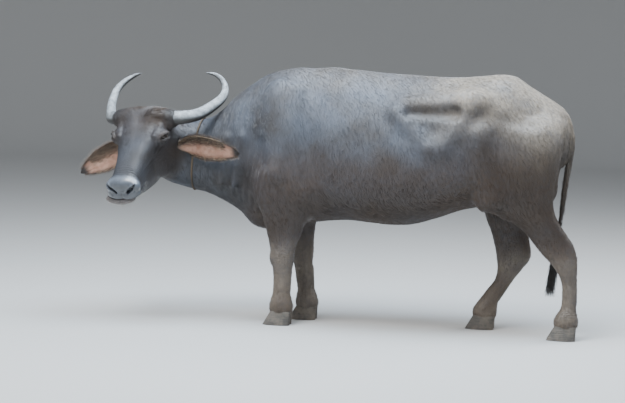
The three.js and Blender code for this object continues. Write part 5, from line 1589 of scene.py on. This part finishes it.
for name in EARS:
    t = np.linspace(0, 1, EAR_RINGS)
    front, back = [], []
    for k in range(EAR_STEPS + 1):
        back.append(ear_point(name, t, np.full(EAR_RINGS, math.pi * k / EAR_STEPS), False)[0])
    for k in range(1, EAR_STEPS):
        front.append(ear_point(name, t, np.full(EAR_RINGS, math.pi * (1 - k / EAR_STEPS)), True)[0])
    rings = np.stack(back + front, 1)
    points, faces = loft(rings)
    across_back = np.zeros((EAR_RINGS, EAR_STEPS + 1))
    inside = np.ones((EAR_RINGS, EAR_STEPS - 1)) * smooth(t, 0.06, 0.16)[:, None]
    inside_mask = np.hstack([across_back, inside])
    # Height across the inside, +1 at its upper edge: the upper half is dark with hair, and the dark deepens
    # towards the root as painted shade inside the cup; both edges of the inside are darker.
    g_inside = math.pi * (1 - np.arange(1, EAR_STEPS) / EAR_STEPS)
    height = np.sign(ear_frame(name, t[:1])[2][0, 2]) * -np.cos(g_inside)
    shaded = smooth(height[None] + 0.55 * (0.5 - t[:, None]), -0.1, 0.75) * smooth(0.8 - t, 0, 0.3)[:, None]
    rim = np.abs(height)[None] ** 4 * np.ones((EAR_RINGS, 1))
    dark = np.hstack([across_back + smooth(t, 0.86, 0.97)[:, None],
                      np.maximum(np.maximum(rim * 0.9, shaded * 0.9), smooth(t, 0.80, 0.94)[:, None])])
    values = np.stack([inside_mask, dark, dark * 0, dark * 0 + 1], -1).reshape(-1, 4)
    ear = mesh_object(f"leaf_{name}", points, faces)
    add_colour(ear.data, "marks", np.vstack([values, values[:1], values[-1:]]))
    ear.data.materials.append(ear_material)
    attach(ear, "root")
    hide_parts(f"ear_{name}")
    # Hair: rows inside, a coat outside and a fringe along both edges.
    random = np.random.default_rng(31 if name == "left" else 32)
    for label, count, is_inside in (("inner", 3400, True), ("outer", 3600, False), ("fringe", 1500, False)):
        t_root = random.random(count) ** 0.9 * 0.93 + 0.02
        if label == "fringe":
            g_root = np.where(random.random(count) < 0.5, random.uniform(0.0, 0.16, count),
                              math.pi - random.uniform(0.0, 0.16, count))
        elif is_inside:
            upper = ear_frame(name, np.array([0.5]))[2][0, 2] > 0
            rows_of_hair = random.choice(INNER_ROWS, count, p=ROW_SHARES)
            rows_of_hair = np.clip(rows_of_hair + random.normal(0, 0.062, count), 0.04, 0.96)
            g_root = math.pi * (1 - rows_of_hair if upper else rows_of_hair)
            t_root = 0.06 + t_root * 0.72
        else:
            g_root = random.uniform(0.04, math.pi - 0.04, count)
        spot, out, across, f = ear_point(name, t_root, g_root, is_inside)
        radial = -np.cos(g_root)[:, None] * across - np.sin(g_root)[:, None] * out
        surface = -radial if is_inside else radial
        if label == "inner":
            lie = f * 0.85 + across * (-np.cos(g_root) * 0.5 + random.normal(0, 0.18, count))[:, None] + out * 0.2
            long, wide, lift = random.uniform(14, 30, count), 0.9, random.uniform(1.5, 6, count)
        elif label == "fringe":
            lie = f * 0.7 + radial * random.uniform(0.4, 1.0, count)[:, None] \
                + out * random.normal(0, 0.2, count)[:, None]
            long, wide, lift = random.uniform(8, 22, count), 0.9, random.uniform(0.5, 3, count)
        else:
            lie = f + across * random.normal(0, 0.16, count)[:, None]
            long, wide, lift = random.uniform(9, 17, count), 1.2, random.uniform(0.5, 1.6, count)
        lie = lie - surface * (lie * surface).sum(1, keepdims=True) * (0.0 if label == "fringe" else 1.0)
        lie /= np.linalg.norm(lie, axis=1, keepdims=True)
        if label == "inner":
            which = random.random(count)
            colours = np.where(which[:, None] < 0.42, CREAM, np.where(which[:, None] < 0.55, RUSSET, BLACK))
        elif label == "fringe":
            colours = np.where(random.random(count)[:, None] < 0.55, GREY_HAIR, np.where(
                random.random(count)[:, None] < 0.5, RUSSET, CREAM * 0.8))
        else:
            colours = np.where(random.random(count)[:, None] < 0.6, GREY_HAIR, RUSSET * 0.7)
        if name == "right":
            colours = colours * 0.7 + RUSSET * 0.3
        colours = np.hstack([colours, np.ones((count, 1))])
        points = tuft_arrays(spot, surface, lie, long, wide, lift, EAR_STATIONS, random)
        flat_uv = np.stack([0.05 + 0.4 * t_root, 0.05 + 0.3 * g_root], 1)
        tuft_piece(f"ear_{label}_{name}", points, colours, flat_uv, EAR_STATIONS, ear_hair, random)

# %% [markdown]
# ## Hoofs
#
# Each foot stands on two claws. Horn grows down from the coronet in fine rings, and
# in a yard it is caked with grey mud, lighter where it has dried.

# %% Claws
CORONET = 66.0
FEET = {"foreleg_left": (-690, -560, -108, 24), "foreleg_right": (-606, -474, 104, 24),
        "hindleg_left": (644, 776, -112, 23), "hindleg_right": (250, 386, 100, 23)}
hoof_material, m, shader = new_material("hoof", 0.75)
place = m.place()
band = m.ramp(m.noise(m.place((14, 14, 230)), 1.0, 4.0), 0.3, 0.7)
mud = m.ramp(m.noise(place, 22.0, 6.0, 0.65), 0.42, 0.6)
colour = m.mix(band, (0.060, 0.055, 0.050, 1), (0.125, 0.112, 0.098, 1))
m.link(m.mix(mud, colour, (0.155, 0.132, 0.108, 1)), shader.inputs["Base Color"])
cake = m.maths("MULTIPLY", m.noise(place, 90.0, 6.0, 0.7), 0.8)
crust = m.maths("ADD", m.maths("MULTIPLY", band, 0.4), cake)
m.link(m.bump(crust, 0.6, 0.002), shader.inputs["Normal"])
for foot, (toe, heel, y0, spread) in FEET.items():
    for which, s in (("outer", -1 if y0 < 0 else 1), ("inner", 1 if y0 < 0 else -1)):
        g = np.linspace(0, 2 * math.pi, 56, endpoint=False)
        rings = []
        for t in np.r_[0, 0.02, np.linspace(0.05, 1, 30)]:
            lip = 1 + 0.012 * math.sin(t * 44) - (0.03 if t == 0 else 0.0)
            x_toe, x_heel = toe + 38 * t, heel + 3 * t
            middle_x = (x_toe + x_heel) / 2
            x = x_toe + (x_heel - x_toe) * (0.5 + 0.5 * np.sign(np.cos(g)) * np.abs(np.cos(g)) ** 0.8)
            x = middle_x + (x - middle_x) * lip
            w = np.where(np.sin(g) * s > 0, 30 - 10 * t, 20 - t)
            narrow = 1 - 0.3 * np.maximum(-np.cos(g), 0) ** 2
            y = y0 + s * spread + np.sign(np.sin(g)) * np.abs(np.sin(g)) ** 0.7 * w * narrow * lip
            y = np.where((y - (y0 + s * 3)) * s < 0, y0 + s * 3, y)
            rings.append(np.stack([x, y, np.full(len(g), CORONET * t)], 1))
        points, faces = loft(rings)
        claw = mesh_object(f"hoof_{foot}_{which}", points, faces)
        claw.data.materials.append(hoof_material)
        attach(claw, "root")
        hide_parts(f"{foot}_claw_{which}")

# %% [markdown]
# ## Tail switch, whiskers and lashes
#
# Coarse single hairs: the black tassel that hangs from the dock, the feelers on lips
# and chin, the lashes over each eye.

# %% Tail switch
SWITCH = [(672, 6, 450), (666, 7, 412), (661, 9, 370), (652, 10, 300), (646, 11, 240), (644, 12, 190)]
black_hair, m, shader = new_material("black_hair", 0.45)
strand = m.ramp(m.noise(m.place((400, 400, 60)), 1.0, 3.0), 0.3, 0.7)
m.link(m.mix(strand, (0.010, 0.009, 0.009, 1), (0.040, 0.034, 0.030, 1)), shader.inputs["Base Color"])
random = np.random.default_rng(11)
core, _ = smooth_path(SWITCH, 40)
count = 1700
t_root = random.random(count) ** 1.2 * 0.62
at = np.stack([np.interp(t_root * 40, np.arange(41), core[:, c]) for c in range(3)], 1)
turn = random.uniform(0, 2 * math.pi, count)
out = np.stack([np.cos(turn), np.sin(turn), np.zeros(count)], 1)
down = np.array([-0.07, 0.02, -1.0]) + out * random.uniform(0.0, 0.09, count)[:, None]
down += np.stack([0.03 * np.sin(turn * 3), 0.03 * np.cos(turn * 2), np.zeros(count)], 1)
down -= out * (down * out).sum(1, keepdims=True) * 0.2
down /= np.linalg.norm(down, axis=1, keepdims=True)
reach = np.minimum(random.uniform(90, 165, count), at[:, 2] - 178)
stations = (0.0, 0.25, 0.5, 0.75)
points = tuft_arrays(at + out * random.uniform(1, 7, count)[:, None], out, down, reach, 1.8,
                     random.uniform(1, 11, count), stations, random)
switch_uv = np.stack([0.7 + 0.2 * t_root, 0.1 + turn / 40], 1)
switch = tuft_piece("tassel", points, np.tile([0.0, 0, 0, 1], (count, 1)), switch_uv, stations,
                    black_hair, random)
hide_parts("tail_switch")

# %% Whiskers and lashes
HAIR_STATIONS = (0.0, 0.35, 0.7)


def hairs(where, count, long, wide, way, seed):
    """Long single hairs on the chosen faces; way is how far out, down and ahead."""
    random = np.random.default_rng(seed)
    total = np.cumsum(face_areas() * (where & face_region(face_middle)))
    face = np.searchsorted(total, random.random(count) * total[-1])
    weights = np.full((count, 3), 1 / 3)
    spot, up = at_roots(skin_points, face, weights), at_roots(skin_normals, face, weights)
    up /= np.linalg.norm(up, axis=1, keepdims=True)
    lie = up * way[0] + np.array([0, 0, -way[1]]) + NOSE * way[2] + random.normal(0, 0.16, (count, 3))
    lie /= np.linalg.norm(lie, axis=1, keepdims=True)
    beside = np.cross(lie, up)
    beside /= np.linalg.norm(beside, axis=1, keepdims=True)
    across = np.cross(beside, lie)
    points = tuft_arrays(spot, across, lie, random.uniform(long[0], long[1], count), wide,
                         random.uniform(0, 1, count), HAIR_STATIONS, random)
    uv = skin_uv[face].mean(1)
    return points, uv, at_roots(skin_marks_and_shade, face, weights), random


pale_hair, m, shader = new_material("whisker", 0.5)
tone = m.ramp(m.noise(m.place((120, 120, 120)), 1.0, 2.0), 0.3, 0.7)
m.link(m.mix(tone, (0.42, 0.38, 0.33, 1), (0.62, 0.58, 0.52, 1)), shader.inputs["Base Color"])
nose_way, side_way, crown_way = face_in_head.T
on_chin = (nose_way > 330) & (crown_way < -124)
on_lip = (nose_way > 380) & (np.abs(side_way) > 34) & (crown_way < -80) & (crown_way > -116)
points, uv, values, random = hairs(on_chin, 420, (9, 26), 0.55, (0.8, 0.9, 0.3), 41)
tuft_piece("chin_whiskers", points, values, uv, HAIR_STATIONS, pale_hair, random)
points, uv, values, random = hairs(on_lip, 130, (8, 20), 0.45, (1.0, 0.5, 0.0), 42)
tuft_piece("lip_whiskers", points, values, uv, HAIR_STATIONS, black_hair, random)
for s, name in ((1, "left"), (-1, "right")):
    random = np.random.default_rng(51 + s)
    count = 150
    x = random.uniform(-19, 21, count)
    rim = EYE_OPEN * np.sqrt(1 - (np.abs(x) / EYE_HALF) ** 2)
    e = np.stack([x, LID_LINE + rim + 1.4, np.sqrt(np.maximum(24.0 ** 2 - x ** 2 - rim ** 2, 0)) - 0.6], 1)
    way = np.stack([x / 60, np.full(count, 0.15), np.ones(count)], 1) + random.normal(0, 0.12, (count, 3))
    way /= np.linalg.norm(way, axis=1, keepdims=True)
    spot = POLL + ((e @ EYE_AXES + EYE) * np.array([1, s, 1])) @ HEAD_AXES
    lie, up = from_eye(way, s), from_eye(np.tile([0.0, 1.0, -0.2], (count, 1)), s)
    up -= lie * (lie * up).sum(1, keepdims=True)
    up /= np.linalg.norm(up, axis=1, keepdims=True)
    points = tuft_arrays(spot, up, lie, random.uniform(9, 15, count), 0.6, -2.5, HAIR_STATIONS, random)
    lash_uv = np.stack([0.6 + x / 500, np.full(count, 0.5)], 1)
    tuft_piece(f"lashes_{name}", points, np.tile([0.0, 0, 0, 1], (count, 1)), lash_uv, HAIR_STATIONS,
               black_hair, random)

# %% [markdown]
# ## Neck rope
#
# A thin laid rope is tied round the neck behind the jaw. Three strands turn about
# each other. The loop is found on the field itself, so it lies on the skin all round.

# %% Rope
ROPE_R, ROPE_AT, ROPE_LEAN = 4.5, np.array([-1052.0, 24.0, 785.0]), np.array([-0.97, 0.06, 0.1])
STRAND_R, STRAND_OFF, ROPE_LAY = 2.45, 2.2, 27.0
STRANDS, STRAND_SIDES, ROPE_RAYS = 3, 8, 240
rope_normal = ROPE_LEAN / np.linalg.norm(ROPE_LEAN)
rope_up = np.array([0, 0, 1.0]) - rope_normal * rope_normal[2]
rope_up /= np.linalg.norm(rope_up)
rope_side = np.cross(rope_normal, rope_up)
turns = np.linspace(0, 2 * math.pi, ROPE_RAYS, endpoint=False)
ray = rope_up * np.cos(turns)[:, None] + rope_side * np.sin(turns)[:, None]
near, far = np.full(ROPE_RAYS, 20.0), np.full(ROPE_RAYS, 420.0)
for _ in range(26):
    middle = (near + far) / 2
    within = flesh(ROPE_AT + ray * middle[:, None]) < ROPE_R * 0.45
    near, far = np.where(within, middle, near), np.where(within, far, middle)
loop = ROPE_AT + ray * near[:, None]
closed = np.vstack([loop, loop[:1]])
s = np.r_[0, np.cumsum(np.linalg.norm(np.diff(closed, axis=0), axis=1))]
steps = 620
at = np.linspace(0, s[-1], steps, endpoint=False)
line = np.stack([np.interp(at, s, closed[:, c]) for c in range(3)], 1)
ahead = np.roll(line, -1, 0) - np.roll(line, 1, 0)
ahead /= np.linalg.norm(ahead, axis=1, keepdims=True)
beside = rope_normal - ahead * (ahead @ rope_normal)[:, None]
beside /= np.linalg.norm(beside, axis=1, keepdims=True)
outward = np.cross(ahead, beside)
lays = round(s[-1] / ROPE_LAY)
rope_points, rope_faces = [], []
for strand in range(STRANDS):
    phase = at / s[-1] * 2 * math.pi * lays + strand * 2 * math.pi / STRANDS
    centre = line + (beside * np.cos(phase)[:, None] + outward * np.sin(phase)[:, None]) * STRAND_OFF
    base = len(rope_points) * STRAND_SIDES * steps
    ring = [centre + (beside * math.cos(g) + outward * math.sin(g)) * STRAND_R
            for g in np.linspace(0, 2 * math.pi, STRAND_SIDES, endpoint=False)]
    rope_points.append(np.stack(ring, 1).reshape(-1, 3))
    i, k = np.meshgrid(np.arange(steps), np.arange(STRAND_SIDES), indexing="ij")
    this_ring, next_ring = i * STRAND_SIDES, ((i + 1) % steps) * STRAND_SIDES
    k1 = (k + 1) % STRAND_SIDES
    a, b, c, d = this_ring + k, this_ring + k1, next_ring + k1, next_ring + k
    rope_faces.append(np.stack([a, b, c, d], -1).reshape(-1, 4) + base)
rope_material, m, shader = new_material("rope", 0.85)
fibre = m.ramp(m.noise(m.place((420, 420, 420)), 1.0, 4.0), 0.3, 0.7)
darkening = m.ramp(m.noise(m.place(), 16.0, 3.0), 0.35, 0.65)
colour = m.mix(fibre, (0.075, 0.052, 0.034, 1), (0.24, 0.18, 0.12, 1))
m.link(m.mix(m.maths("MULTIPLY", darkening, 0.7), colour, (0.04, 0.03, 0.023, 1)), shader.inputs["Base Color"])
m.link(m.bump(fibre, 0.5, 0.0006), shader.inputs["Normal"])
rope = mesh_object("laid_rope", np.vstack(rope_points), np.vstack(rope_faces))
rope.data.materials.append(rope_material)
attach(rope, "root")
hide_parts("neck_rope")
print("rope loop, mm:", round(s[-1]))

# %% [markdown]
# ## Stage, light and camera
#
# A plain pale floor curves up all round, like a film studio's cove, so there is no
# corner behind the animal from any side. A broad cool light hangs over the back as
# the open sky does, a smaller and faintly warm one stands in front, and a weak one
# behind. The camera has the photo's place: about eight and a half metres off and
# 1.36 m up, with a long lens.

# %% Floor and cove
def plain_material(name, colour, roughness):
    material = bpy.data.materials.new(name)
    material.use_nodes = True
    shader = material.node_tree.nodes["Principled BSDF"]
    shader.inputs["Base Color"].default_value = (*colour, 1)
    shader.inputs["Roughness"].default_value = roughness
    return material


FLAT, ROUND_UP, WALL = 11.5, 3.0, 7.0
profile = [(FLAT * k / 6, 0.0) for k in range(1, 7)]
profile += [(FLAT + ROUND_UP * math.sin(a), ROUND_UP - ROUND_UP * math.cos(a))
            for a in np.linspace(0.12, math.pi / 2, 12)]
profile.append((FLAT + ROUND_UP, WALL))
TURNS = 96
floor_points = [(r * math.cos(2 * math.pi * k / TURNS), r * math.sin(2 * math.pi * k / TURNS), z)
                for r, z in profile for k in range(TURNS)]
floor_faces = [tuple(range(TURNS))]
for i in range(len(profile) - 1):
    for k in range(TURNS):
        k1 = (k + 1) % TURNS
        floor_faces.append((i * TURNS + k, (i + 1) * TURNS + k, (i + 1) * TURNS + k1, i * TURNS + k1))
stage_mesh = bpy.data.meshes.new("floor")
stage_mesh.from_pydata(floor_points, [], floor_faces)
stage_mesh.polygons.foreach_set("use_smooth", [True] * len(floor_faces))
floor = bpy.data.objects.new("floor", stage_mesh)
bpy.context.collection.objects.link(floor)
floor.data.materials.append(plain_material("pale_floor", (0.50, 0.49, 0.475), 0.9))

# %% Lights
world = bpy.data.worlds.new("studio")
world.use_nodes = True
background = world.node_tree.nodes["Background"].inputs
background["Color"].default_value = (0.86, 0.92, 1.0, 1)
background["Strength"].default_value = 0.34
bpy.context.scene.world = world


def area_light(name, place, target, power, width, height, colour):
    data = bpy.data.lights.new(name, "AREA")
    data.shape = "RECTANGLE"
    data.size, data.size_y, data.energy, data.color = width, height, power, colour
    light = bpy.data.objects.new(name, data)
    light.location = place
    light.rotation_euler = (Vector(target) - Vector(place)).to_track_quat("-Z", "Y").to_euler()
    bpy.context.collection.objects.link(light)
    return light


area_light("key", (-1.6, -3.6, 5.4), (-0.1, 0.0, 0.8), 360, 3.0, 2.4, (1.0, 0.99, 0.97))
area_light("sky", (0.3, -0.7, 4.6), (0.0, -0.1, 0.8), 670, 4.4, 3.0, (0.72, 0.86, 1.0))
area_light("rim", (4.2, 2.4, 3.6), (0.4, 0.0, 0.9), 160, 2.6, 2.2, (1.0, 1.0, 1.0))

# %% Camera
FOCAL_PIXELS = 1800.0
PICTURE_WIDTH = 625
RAY, AXIS = math.radians(6.74), math.radians(10.0)
PITCH, ROLL = math.atan(163.5 / FOCAL_PIXELS), math.radians(1.6)
DISTANCE, EYE_LEVEL = 8.46, 1.355
eye_point = np.array([DISTANCE * math.sin(RAY), -DISTANCE * math.cos(RAY), EYE_LEVEL]) + SHIFT
forward = np.array([-math.sin(AXIS) * math.cos(PITCH), math.cos(AXIS) * math.cos(PITCH), -math.sin(PITCH)])
right = np.array([math.cos(AXIS), math.sin(AXIS), 0.0])
above = np.cross(right, forward)
right, above = (right * math.cos(ROLL) + above * math.sin(ROLL),
                above * math.cos(ROLL) - right * math.sin(ROLL))
camera_data = bpy.data.cameras.new("camera")
camera_data.sensor_width = 36.0
camera_data.lens = camera_data.sensor_width * FOCAL_PIXELS / PICTURE_WIDTH
camera_data.dof.use_dof = False
camera = bpy.data.objects.new("camera", camera_data)
camera.matrix_world = Matrix([[right[i], above[i], -forward[i], eye_point[i]] for i in range(3)]
                             + [[0, 0, 0, 1]])
bpy.context.collection.objects.link(camera)
bpy.context.scene.camera = camera
print("camera at", eye_point.round(3), "lens", round(camera_data.lens, 2))
